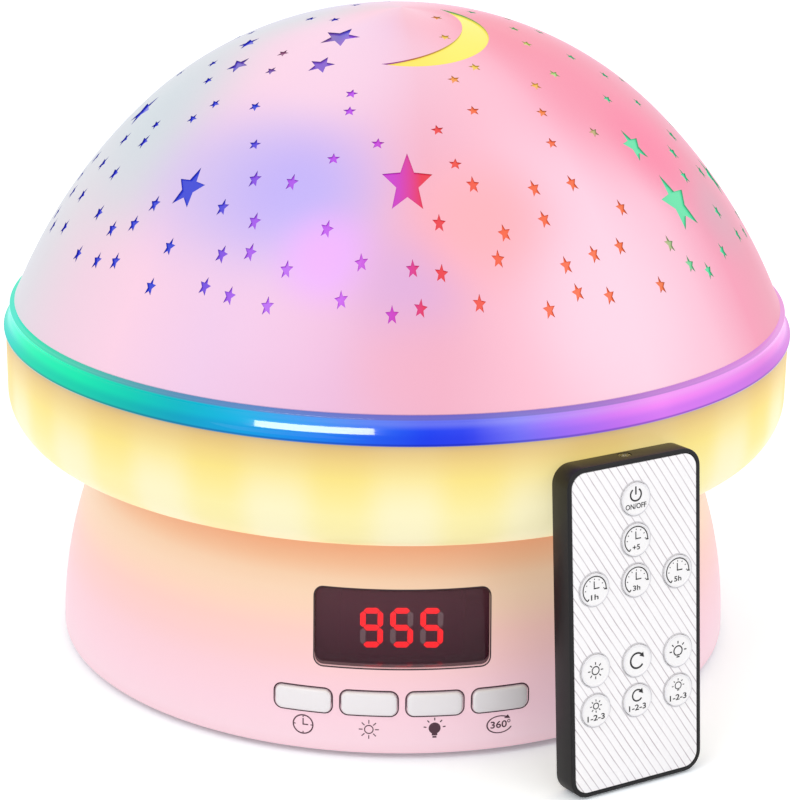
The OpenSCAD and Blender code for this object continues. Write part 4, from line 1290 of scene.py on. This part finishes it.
def rays(inner, outer, stroke, angles, x=0, y=0):
    bars = []
    for angle in angles:
        (x0, y0), (x1, y1) = polar(inner, angle), polar(outer, angle)
        bars.append(strokeBar(x + x0, y + y0, x + x1, y + y1, stroke))
    return bars


def arrowHead(radius, angle, size, x=0, y=0, clockwise=False):
    # a triangle at the end of an arc, which points along it
    head = flatShape([(size, 0), (-0.5 * size, 0.8 * size), (-0.5 * size, -0.8 * size)])
    across, up = polar(radius, angle)
    return shift(head, x + across, y + up, turn=angle + (-90 if clockwise else 90))


def letters(words, width, height, x=0, y=0):
    clearSelection()
    bpy.ops.object.text_add()
    piece = bpy.context.object
    piece.data.body = words
    piece.data.offset = 0.014
    piece.data.resolution_u = 4
    bpy.ops.object.convert(target="MESH")
    low = Vector([min(vertex.co[axis] for vertex in piece.data.vertices) for axis in range(3)])
    high = Vector([max(vertex.co[axis] for vertex in piece.data.vertices) for axis in range(3)])
    piece.data.transform(Matrix.Translation(-(low + high) / 2))
    stretch = (width * mm / (high.x - low.x), height * mm / (high.y - low.y), 1, 1)
    piece.data.transform(Matrix.Diagonal(stretch))
    return shift(piece, x, y)


def printed(name, shapes, sunk, proud):
    # joins flat shapes and raises them from a depth under their surface to a height over it
    piece = join(shapes, name)
    openMesh(piece, selected=True)
    bpy.ops.mesh.remove_doubles(threshold=tiny)
    bpy.ops.transform.translate(value=(0, 0, -sunk * mm))
    thicken(sunk + proud)
    return piece


def inked(name, shapes, level):
    # printed on a flat face at a level of the remote
    return shift(printed(name, shapes, ink["sunk"], ink["proud"]), 0, 0, level)


def clockShapes():
    shapes = [strokeArc(2.3, 0.3), strokeBar(0, -0.14, 0, 1.5, 0.28), strokeBar(-0.14, 0, 1.2, 0, 0.28)]
    return shapes + rays(1.75, 2.2, 0.22, (0, 90, 180, 270))


def sunShapes(radius, stroke, inner, outer, x=0, y=0):
    return [strokeArc(radius, stroke, x=x, y=y)] + rays(inner, outer, stroke * 0.95, range(0, 360, 45), x, y)


def bulbShapes():
    bulb = [sector(0, 1.4, y=0.35), strokeBar(0, -0.7, 0, -1.45, 1.3), strokeBar(0, -1.62, 0, -2.05, 0.95)]
    return bulb + rays(1.95, 2.6, 0.26, (8, 49, 90, 131, 172), y=0.35)


def turnShapes():
    # plain numbers inside an arrow that runs most of the way round them
    arrow = join([strokeArc(2.45, 0.28, 58, 338), arrowHead(2.45, 52, 0.72, clockwise=True)], "arrow")
    arrow.data.transform(Matrix.Diagonal((1.22, 0.86, 1, 1)))
    return [arrow, letters("360", 3.9, 1.75, -0.2), strokeArc(0.32, 0.17, x=2.2, y=0.62)]


signInk = plastic("signInk", (82, 46, 62), (66, 36, 50), roughness=0.5)
iconShapes = (clockShapes, lambda: sunShapes(1.0, 0.24, 1.45, 2.35), bulbShapes, turnShapes)
baseSigns = []
for i, shapes in enumerate(iconShapes):
    sign = printed("sign", shapes(), ink["wallSunk"], ink["wallProud"])
    baseSigns.append(wrapOnWall(sign, keyX(i), keys["iconZ"]))
finishPiece(join(baseSigns, "baseSigns"), "base", signInk)
# dark frames of painted shade round the key openings and the display opening
gapShadeFrames = [shadeFrame(*keyHole, keys["line"], keyX(i), keys["z"]) for i in range(4)]
gapShadeFrames.append(shadeFrame(*panelHole, panel["line"], 0, panel["z"]))
paintedGapShade = plastic("paintedGapShade", (52, 26, 38), (40, 18, 28), roughness=0.5)
finishPiece(join(gapShadeFrames, "baseGapShades"), "base", paintedGapShade)
print("base signs made")

# remote

remote = {
    "width": 36.0,
    "length": 78.0,
    "thick": 6.8,
    "round": 4.5,
    "wall": 1.0,
    "faceThick": 1.2,
    "lean": 5.0,
    "turn": 28.5,
    "foot": 106.598,
    "padR": 3.8,
    "padProud": 0.5,
    "padRim": 0.35,
    "padSunk": 0.2,
    "padDrop": 0.55,
    "padFlange": 0.5,
    "padFlangeThick": 0.45,
    "pitchX": 11.4,
    "pitchY": 9.6,
    "topKey": 68.7,
    "trayWidth": 22.4,
    "trayLength": 22.0,
    "trayThick": 2.8,
    "trayPlay": 0.05,
    "trayEdge": 0.6,
    "trayFloor": 0.2,
    "trayNotch": (8, 1.6),
    "coinR": 10.0,
    "beamR": 1.6,
    "beamZ": 1.8,
    "lineAngle": 57.0,
    "linePitch": 1.7,
}
padTop = remote["thick"] + remote["padProud"]
padDish = padTop - remote["padSunk"]
remoteFrame = turned(remote["turn"]) @ moved(0, -remote["foot"]) @ turned(90 - remote["lean"], "X")


def remoteShell():
    wall, thick = remote["wall"], remote["thick"]
    width, length, corner = remote["width"], remote["length"], remote["round"]
    half = length / 2
    shell = shift(roundedSlab("remoteShell", width, length, corner, thick, rim=0.3, segments=10), 0, half)
    bevelFaces(shell, -1, 0.7, 4)
    pocket = roundedSlab("pocketTool", width - 2 * wall, length - 2 * wall, corner - wall, 12, segments=10)
    cut(shell, shift(pocket, 0, half, wall))
    slot = roundedSlab("slotTool", remote["trayWidth"] + 0.4, 6, 0.3, remote["trayThick"] + 0.15)
    cut(shell, shift(slot, 0, 0, wall))
    beam = (0, length - 1, wall + remote["beamZ"])
    cut(shell, rod(remote["beamR"], 6, beam, 40, standing=False))
    ledge = roundedSlab("remoteLedge", width - 2 * wall + 0.4, length - 2 * wall + 0.4, corner - wall, 0.9,
                        segments=10)
    inner = roundedSlab("ledgeTool", width - 2 * wall - 1.2, length - 2 * wall - 1.2, corner - wall - 0.6,
                        4, segments=10)
    cut(ledge, shift(inner, 0, 0, -1))
    shift(ledge, 0, half, thick - remote["faceThick"] - 1)
    return place(smooth(join([shell, ledge], "remoteShell")), remoteFrame)


def padSpots():
    names = [["pad_light_123", "pad_turn_123", "pad_colour_123"], ["pad_light", "pad_turn", "pad_colour"],
             ["pad_1h", "pad_3h", "pad_5h"], [None, "pad_add_5", None], [None, "pad_power", None]]
    for row, (steps, line) in enumerate(zip((5, 4, 2, 1, 0), names)):
        for column, name in enumerate(line):
            if name:
                yield name, (column - 1) * remote["pitchX"], remote["topKey"] - steps * remote["pitchY"]


def remoteFace():
    inset, thick = 2 * remote["wall"] + 0.2, remote["faceThick"]
    face = roundedSlab("remoteFace", remote["width"] - inset, remote["length"] - inset,
                       remote["round"] - remote["wall"], thick, rim=0.15, segments=10)
    shift(face, 0, remote["length"] / 2, remote["thick"] - thick)
    holes = [rod(remote["padR"] + 0.1, 8, (x, y, remote["thick"]), 64) for name, x, y in padSpots()]
    return place(smooth(cut(face, join(holes, "padHoles"))), remoteFrame)


def linedFace():
    # pale plastic with fine slanting lines, drawn in the remote's own frame
    material, tree, shader = startMaterial("linedFace", Coat_Weight=0.4, Coat_Roughness=0.1)
    local = addNode(tree, "ShaderNodeMapping", [
        ("Vector", objectPlace(tree)), ("Location", remoteFrame.to_translation()),
        ("Rotation", remoteFrame.to_euler())], vector_type="TEXTURE").outputs[0]
    slanted = addNode(tree, "ShaderNodeMapping", [
        ("Vector", local), ("Rotation", (0, 0, math.radians(remote["lineAngle"])))]).outputs[0]
    split = addNode(tree, "ShaderNodeSeparateXYZ", [(0, slanted)]).outputs
    cloud = noise(tree, local, 160.0, 3.0)
    across = math2(tree, "ADD", split["Y"], math2(tree, "MULTIPLY", cloud, 0.25 * mm))
    wave = math2(tree, "SINE", math2(tree, "MULTIPLY", across, math.tau / (remote["linePitch"] * mm)))
    line = remap(tree, wave, 0.8, 0.99, 0.0, 1.0)
    ink = math2(tree, "MULTIPLY", line, remap(tree, cloud, 0.35, 0.62, 0.6, 1.0, "LINEAR"))
    tone = mixColours(tree, cloud, linear(186, 180, 186), linear(198, 186, 190))
    connect(tree, shader, Base_Color=mixColours(tree, ink, linear(252, 249, 250), tone))
    addGrain(tree, shader, 900.0, 0.28, 0.05)
    addBump(tree, shader, line, 0.03, 0.0001)
    return material


def padBody():
    low = remote["thick"] - remote["faceThick"] - remote["padDrop"]
    step = low + remote["padFlangeThick"]
    radius, flange = remote["padR"], remote["padR"] + remote["padFlange"]
    inner = radius - remote["padRim"]
    return lathe("padBody", [
        (0, low), (flange, low), (flange, step), (radius, step), (radius, padDish),
        (inner, padTop - 0.06), (inner - 0.1, padDish), (0, padDish)], steps=72)


def padRim():
    radius, rim = remote["padR"], remote["padRim"]
    crest = arc(radius - rim / 2, padTop - rim / 2, rim / 2, 0, 180, 10)
    return lathe("padRim", crest + [(radius - rim, padTop - 0.3), (radius, padTop - 0.3), crest[0]], steps=72)


def hourShapes(words):
    dial = [strokeArc(3.1, 0.26, -6, 232), strokeBar(-0.1, 0.25, -0.1, 1.95, 0.26),
            strokeBar(-0.23, 0.25, 1.3, 0.25, 0.26)]
    ticks = rays(2.3, 2.6, 0.2, range(0, 181, 30)) + rays(2.6, 3.5, 0.3, (-6,)) + rays(2.5, 3.1, 0.3, (232,))
    return dial + ticks + [letters(words, 2.0, 1.25, 0, -1.75)]


def powerShapes():
    ringShapes = [strokeArc(1.45, 0.38, 125, 415, y=1.0), strokeBar(0, 1.0, 0, 2.9, 0.38)]
    return ringShapes + [letters("ON/OFF", 5.6, 1.25, 0, -1.7)]


def roundArrowShapes(radius, stroke, y):
    return [strokeArc(radius, stroke, 48, 325, y=y), arrowHead(radius, 38, 0.8, y=y, clockwise=True)]


def smallBulbShapes(scale, y):
    bulb = [strokeArc(1.0, 0.26, -60, 240), strokeBar(-0.42, -0.9, 0.42, -0.9, 0.26),
            strokeBar(-0.36, -1.3, 0.36, -1.3, 0.26)]
    bulb = join(bulb + rays(1.5, 2.05, 0.24, (0, 45, 90, 135, 180)), "smallBulb")
    bulb.data.transform(Matrix.Scale(scale, 4))
    return [shift(bulb, 0, y)]


def steps123():
    return [letters("1-2-3", 4.7, 1.4, 0, -1.7)]


padShapes = {
    "pad_power": powerShapes,
    "pad_add_5": lambda: hourShapes("+5"),
    "pad_1h": lambda: hourShapes("1h"),
    "pad_3h": lambda: hourShapes("3h"),
    "pad_5h": lambda: hourShapes("5h"),
    "pad_light": lambda: sunShapes(0.95, 0.26, 1.4, 2.05),
    "pad_turn": lambda: roundArrowShapes(1.8, 0.44, 0),
    "pad_colour": lambda: smallBulbShapes(1.15, 0),
    "pad_light_123": lambda: sunShapes(0.7, 0.24, 1.1, 1.6, y=1.1) + steps123(),
    "pad_turn_123": lambda: roundArrowShapes(1.35, 0.36, 1.2) + steps123(),
    "pad_colour_123": lambda: smallBulbShapes(0.85, 1.1) + steps123(),
}
padWhite = plastic("padWhite", (250, 248, 248), (236, 232, 234), roughness=0.4)
rimGrey = plastic("rimGrey", (240, 238, 241), (226, 224, 228), roughness=0.35)
padInk = plastic("padInk", (26, 24, 26), (14, 12, 14), roughness=0.5)
padRingGrey = plastic("padRingGrey", (208, 206, 210), (196, 194, 198), roughness=0.5)


def makePads():
    body = dress(padBody(), padWhite)
    rim = dress(padRim(), rimGrey)
    for name, x, y in padSpots():
        sign = dress(inked("padSign", padShapes[name](), padDish), padInk)
        key = join([smooth(duplicate(body, "key")), smooth(duplicate(rim, "rim")), sign],
                   name.replace("pad_", "key_"))
        finishPiece(place(shift(key, x, y), remoteFrame), name, replaced=[name])
    for spare in (body, rim):
        bpy.data.objects.remove(spare)
    # a thin grey ring on the face round each pad opening
    rings = [strokeArc(remote["padR"] + 0.28, 0.2, x=x, y=y) for name, x, y in padSpots()]
    rings = inked("faceRings", rings, remote["thick"])
    finishPiece(place(rings, remoteFrame), "remote", padRingGrey)


def coinTray():
    width, length, thick = remote["trayWidth"], remote["trayLength"], remote["trayThick"]
    low = remote["wall"] + remote["trayPlay"]
    tray = shift(roundedSlab("coinTray", width, length, 0.5, thick, rim=0.15), 0, length / 2, low)
    coin = (0, length - remote["coinR"] - remote["trayEdge"], low + remote["trayFloor"] + thick)
    cut(tray, rod(remote["coinR"] + 0.1, 2 * thick, coin, 96))
    cut(tray, shift(roundedSlab("notchTool", *remote["trayNotch"], 0.3, thick), 0, -0.2, low + thick / 2))
    return place(smooth(tray), remoteFrame)


remoteBlack = plastic("remoteBlack", (18, 16, 18), (10, 9, 11), roughness=0.42, Coat_Weight=0.1,
                      Coat_Roughness=0.2, Specular_IOR_Level=0.3)
trayBlack = plastic("trayBlack", (30, 28, 30), (16, 15, 17), roughness=0.46)
finishPiece(remoteShell(), "remote", remoteBlack, ["remote_shell"])
finishPiece(remoteFace(), "remote", linedFace(), ["remote_face"])
finishPiece(coinTray(), "coin_tray", trayBlack, ["coin_tray"])
makePads()
print("remote made")

# foot, cover, battery door and power port

under = {
    "footR": 79.0,
    "footWidth": 7.0,
    "footTop": 2.2,
    "footRound": 0.7,
    "footSteps": 9,
    "footDeep": 0.28,
    "coverR": 84.2,
    "coverThick": 2.4,
    "groove": 0.8,
    "bayX": 30.6,
    "bayY": 28.8,
    "bayWall": 1.6,
    "bayTop": 18.1,
    "ledge": 1.4,
    "doorThick": 1.7,
    "doorPlay": 0.2,
    "screwR": 64.0,
    "recessR": 3.0,
    "recessTop": 1.3,
    "screwHoleR": 1.7,
    "screwBoreR": 1.25,
    "screwLength": 11,
    "screwCross": (2.9, 0.55),
    "thumbR": 6,
    "thumbDrop": 5.2,
    "gripWidth": 18,
    "gripStart": 13.5,
    "gripPitch": 2.4,
    "portLength": 7.4,
    "portWall": 0.3,
    "portTongue": (6.7, 0.7),
}


def footRing():
    outer, inner, top = under["footR"], under["footR"] - under["footWidth"], under["footTop"]
    soft, count, deep = under["footRound"], under["footSteps"], under["footDeep"]
    grooves = [(inner + soft + (outer - inner - 2 * soft) * (i + 0.5) / count, deep if i % 2 == 1 else 0.0)
               for i in range(count)]
    points = arc(inner + soft, soft, soft, 180, 270, 5) + grooves + arc(outer - soft, soft, soft, -90, 0, 5)
    return lathe("footRing", points + [(outer, top), (inner, top), points[0]])


def screwSpots():
    reach = under["screwR"] * math.sqrt(0.5)
    return [(x * reach, y * reach) for x in (-1, 1) for y in (-1, 1)]


def bottomCover():
    low = lamp["footZ"]
    high, groove = low + under["coverThick"], low + under["groove"]
    edge, outer = under["coverR"], under["footR"] + 0.1
    inner = under["footR"] - under["footWidth"] - 0.1
    cover = lathe("bottomCover", [
        (0, low), (inner, low), (inner, groove), (outer, groove), (outer, low), (edge - 0.3, low),
        (edge, low + 0.3), (edge, high), (0, high)])
    x, y, wall, ledge = under["bayX"], under["bayY"], under["bayWall"], under["ledge"]
    box = roundedSlab("bayBox", 2 * (x + wall), 2 * (y + wall), 1.2, under["bayTop"] + wall - low - 1)
    box = cut(cover, shift(box, 0, 0, low + 1), "UNION")
    bay = roundedSlab("bayTool", 2 * x, 2 * y, 0.3, under["bayTop"] - low + 2)
    step = roundedSlab("ledgeTool", 2 * (x + ledge), 2 * (y + ledge), 1.0, 2 + under["doorThick"] + 0.1)
    for tool in (bay, step):
        cut(box, shift(tool, 0, 0, low - 2))
    for spotX, spotY in screwSpots():
        for top, radius in ((high + 1, under["screwHoleR"]), (low + under["recessTop"], under["recessR"])):
            cut(box, rod(radius, top - (low - 1), (spotX, spotY, (low - 1 + top) / 2)))
    return smooth(box, 30)


def batteryDoor():
    low, thick, thumb = lamp["footZ"], under["doorThick"], under["thumbR"]
    width = 2 * (under["bayX"] + under["ledge"] - under["doorPlay"])
    length = 2 * (under["bayY"] + under["ledge"] - under["doorPlay"])
    door = shift(roundedSlab("batteryDoor", width, length, 1.0, thick, rim=0.2), 0, 0, low)
    bevelFaces(door, -1, 0.15, 2)
    bpy.ops.mesh.primitive_uv_sphere_add(
        segments=48, ring_count=24, radius=thumb * mm,
        location=(0, (thumb - length / 2) * mm, (low - under["thumbDrop"]) * mm))
    cut(door, bake(bpy.context.object))
    for i in range(4):
        groove = roundedSlab("grooveTool", under["gripWidth"], 1, 0.45, 1.5)
        cut(door, shift(groove, 0, under["gripStart"] - length / 2 + under["gripPitch"] * i, low - 1))
    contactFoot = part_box("battery_contacts")[0].z / mm
    tongue = roundedSlab("doorTongue", 10, 0.8, 0.25, contactFoot - 0.3 - low - thick + 0.5)
    shift(tongue, 0, 0.7 - under["bayY"], low + thick - 0.5)
    return smooth(join([door, tongue], "batteryDoor"), 30)


def coverScrews():
    low, top, bore = lamp["footZ"], lamp["footZ"] + under["recessTop"], under["screwBoreR"]
    head = lathe("coverScrew", [
        (0, low + 0.15), (1.6, low + 0.15), (2.15, low + 0.35), (2.45, low + 0.8), (2.6, top), (bore, top),
        (bore, low + under["screwLength"]), (0, low + under["screwLength"] + 0.2)], steps=40)
    for turn in (0, 90):
        bar = roundedSlab("crossTool", *under["screwCross"], 0.1, 1.4)
        cut(head, shift(bar, 0, 0, low - 0.5, turn))
    screws = []
    for i, (x, y) in enumerate(screwSpots()):
        screws.append(shift(duplicate(head, "coverScrew"), x, y, turn=17 + 41 * i))
    bpy.data.objects.remove(head)
    return smooth(join(screws, "coverScrews"), 30)


def powerPort():
    width, height, wall, length = inlet["width"], inlet["height"], under["portWall"], under["portLength"]
    tube = roundedSlab("powerPort", width, height, height / 2 - 0.01, length, rim=0.1)
    hollow = roundedSlab("portHollow", width - 2 * wall, height - 2 * wall, height / 2 - wall - 0.01, 20)
    cut(tube, shift(hollow, 0, 0, 1))
    tongue = shift(roundedSlab("portTongue", *under["portTongue"], 0.2, length - 1.6), 0, 0, 0.6)
    stand = Matrix.Translation((0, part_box("power_port")[0].y, inlet["z"] * mm)) @ turned(-90, "X")
    return place(smooth(tube), stand), place(smooth(tongue), stand)


soleRubber = plastic("soleRubber", (58, 54, 56), (38, 35, 37), roughness=0.75, scale=1600.0, bump=0.15)
coverPink = plastic("coverPink", (240, 190, 204), (224, 168, 186), roughness=0.5, scale=1100.0, bump=0.1)
plated = metal("platedMetal", (214, 214, 212), (168, 166, 162), roughness=0.24)
screwSteel = metal("screwSteel", (176, 176, 180), (120, 120, 124), roughness=0.3)
portTongueBlack = plastic("portTongueBlack", (26, 24, 26), (14, 13, 14), roughness=0.45)
finishPiece(smooth(footRing(), 30), "base", soleRubber, ["foot_ring"])
finishPiece(bottomCover(), "base", coverPink, ["bottom_cover"])
finishPiece(batteryDoor(), "battery_door", coverPink, ["battery_door"])
finishPiece(coverScrews(), "base", screwSteel, ["cover_screws"])
portTube, portTongue = powerPort()
finishPiece(portTube, "base", plated, ["power_port"])
finishPiece(portTongue, "base", portTongueBlack)
print("underside and port made")

# cells and the pieces inside

cell = {"radius": 7.1, "length": 50.4, "cap": 1.2, "button": 2.7, "round": 0.6, "dishR": 5.2, "pitch": 15.0,
        "count": 4}


def cellBody():
    radius, half, button = cell["radius"], cell["length"] / 2, cell["button"]
    shoulder, soft, dish = half - cell["cap"], cell["round"], cell["dishR"]
    sleeve = [(0, -half + 0.3), (dish, -half + 0.3), (dish + 0.2, -half), (radius - soft, -half)]
    sleeve += arc(radius - soft, -half + soft, soft, -90, 0, 5)
    sleeve += arc(radius - soft, shoulder - soft, soft, 0, 90, 5)
    sleeve += [(button + 0.5, shoulder), (button + 0.3, shoulder - 0.15), (button, shoulder - 0.15)]
    sleeve += arc(button - 0.4, half - 0.4, 0.4, 0, 90, 4) + [(0, half)]
    return lathe("cellBody", sleeve, steps=72)


def cellSleeve():
    # a dark sleeve, plain metal at both ends
    material, tree, shader = startMaterial("cellSleeve", Coat_Weight=0.5, Coat_Roughness=0.1)
    split = addNode(tree, "ShaderNodeSeparateXYZ", [(0, objectPlace(tree))]).outputs
    along = math2(tree, "ABSOLUTE", split["Y"])
    ends = remap(tree, along, 23.6 * mm, 23.8 * mm, 0.0, 1.0, "LINEAR")
    drift = uneven(tree, linear(44, 46, 52), linear(24, 25, 30), 50.0, 0.4)
    connect(tree, shader, Base_Color=mixColours(tree, ends, drift, linear(206, 204, 198)), Metallic=ends)
    addGrain(tree, shader, 900.0, 0.24, 0.1)
    return material


def makeCells():
    body = cellBody()
    low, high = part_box("aa_cells")
    height = (low.z + high.z) / 2
    cells = []
    for i in range(cell["count"]):
        turn = turned(0 if i % 2 == 0 else 180) @ turned(-90, "X")
        across = (i - (cell["count"] - 1) / 2) * cell["pitch"] * mm
        cells.append(place(duplicate(body, "cell"), Matrix.Translation((across, 0, height)) @ turn))
    bpy.data.objects.remove(body)
    return smooth(join(cells, "cells"))


finishPiece(makeCells(), "base", cellSleeve(), ["aa_cells"])


def clearPlastic():
    material, tree, shader = startMaterial("clearLens", Transmission_Weight=1.0, IOR=1.49)
    connect(tree, shader, Base_Color=uneven(tree, linear(248, 250, 255), linear(238, 240, 245), 40.0, 0.3))
    addGrain(tree, shader, 300.0, 0.08, 0.04)
    return material


boardGreen = plastic("boardGreen", (22, 92, 58), (12, 66, 40), roughness=0.35, scale=2400.0, bump=0.1,
                     amount=0.5)
switchBlack = plastic("switchBlack", (34, 33, 35), (18, 17, 19), roughness=0.45)
frameWhite = plastic("frameWhite", (236, 234, 232), (220, 216, 214), roughness=0.5)
diodeYellow = plastic("diodeYellow", (250, 236, 172), (240, 214, 120), roughness=0.3)
boardWhite = plastic("boardWhite", (240, 240, 236), (226, 226, 222), roughness=0.35, scale=2000.0)
washerCream = plastic("washerCream", (240, 232, 210), (226, 214, 186), roughness=0.3)
turntableGrey = plastic("turntableGrey", (220, 220, 222), (200, 200, 204), roughness=0.42)
motorSteel = metal("motorSteel", (190, 192, 196), (146, 148, 152), stretch=(60, 60, 2200), roughness=0.3)
gearBrass = metal("gearBrass", (214, 178, 96), (170, 132, 60), stretch=(80, 80, 1600), roughness=0.26)
clearLens = clearPlastic()
insideFinish = [
    (plated, "battery_contacts coin_cell"),
    (boardGreen, "front_board power_board remote_board"),
    (switchBlack, "tact_switches ir_receiver"),
    (frameWhite, "inner_frame"),
    (screwSteel, "frame_screws dome_screws"),
    (diodeYellow, "warm_led_strip"),
    (boardWhite, "ring_led_board star_led_board"),
    (motorSteel, "drive_motor motor_shaft retaining_ring"),
    (gearBrass, "drive_pinion"),
    (washerCream, "thrust_washer"),
    (turntableGrey, "turntable"),
    (clearLens, "star_liner star_leds remote_led"),
]
for material, names in insideFinish:
    for name in names.split():
        dress(nodes[name], material)
print("cells and inner pieces dressed")
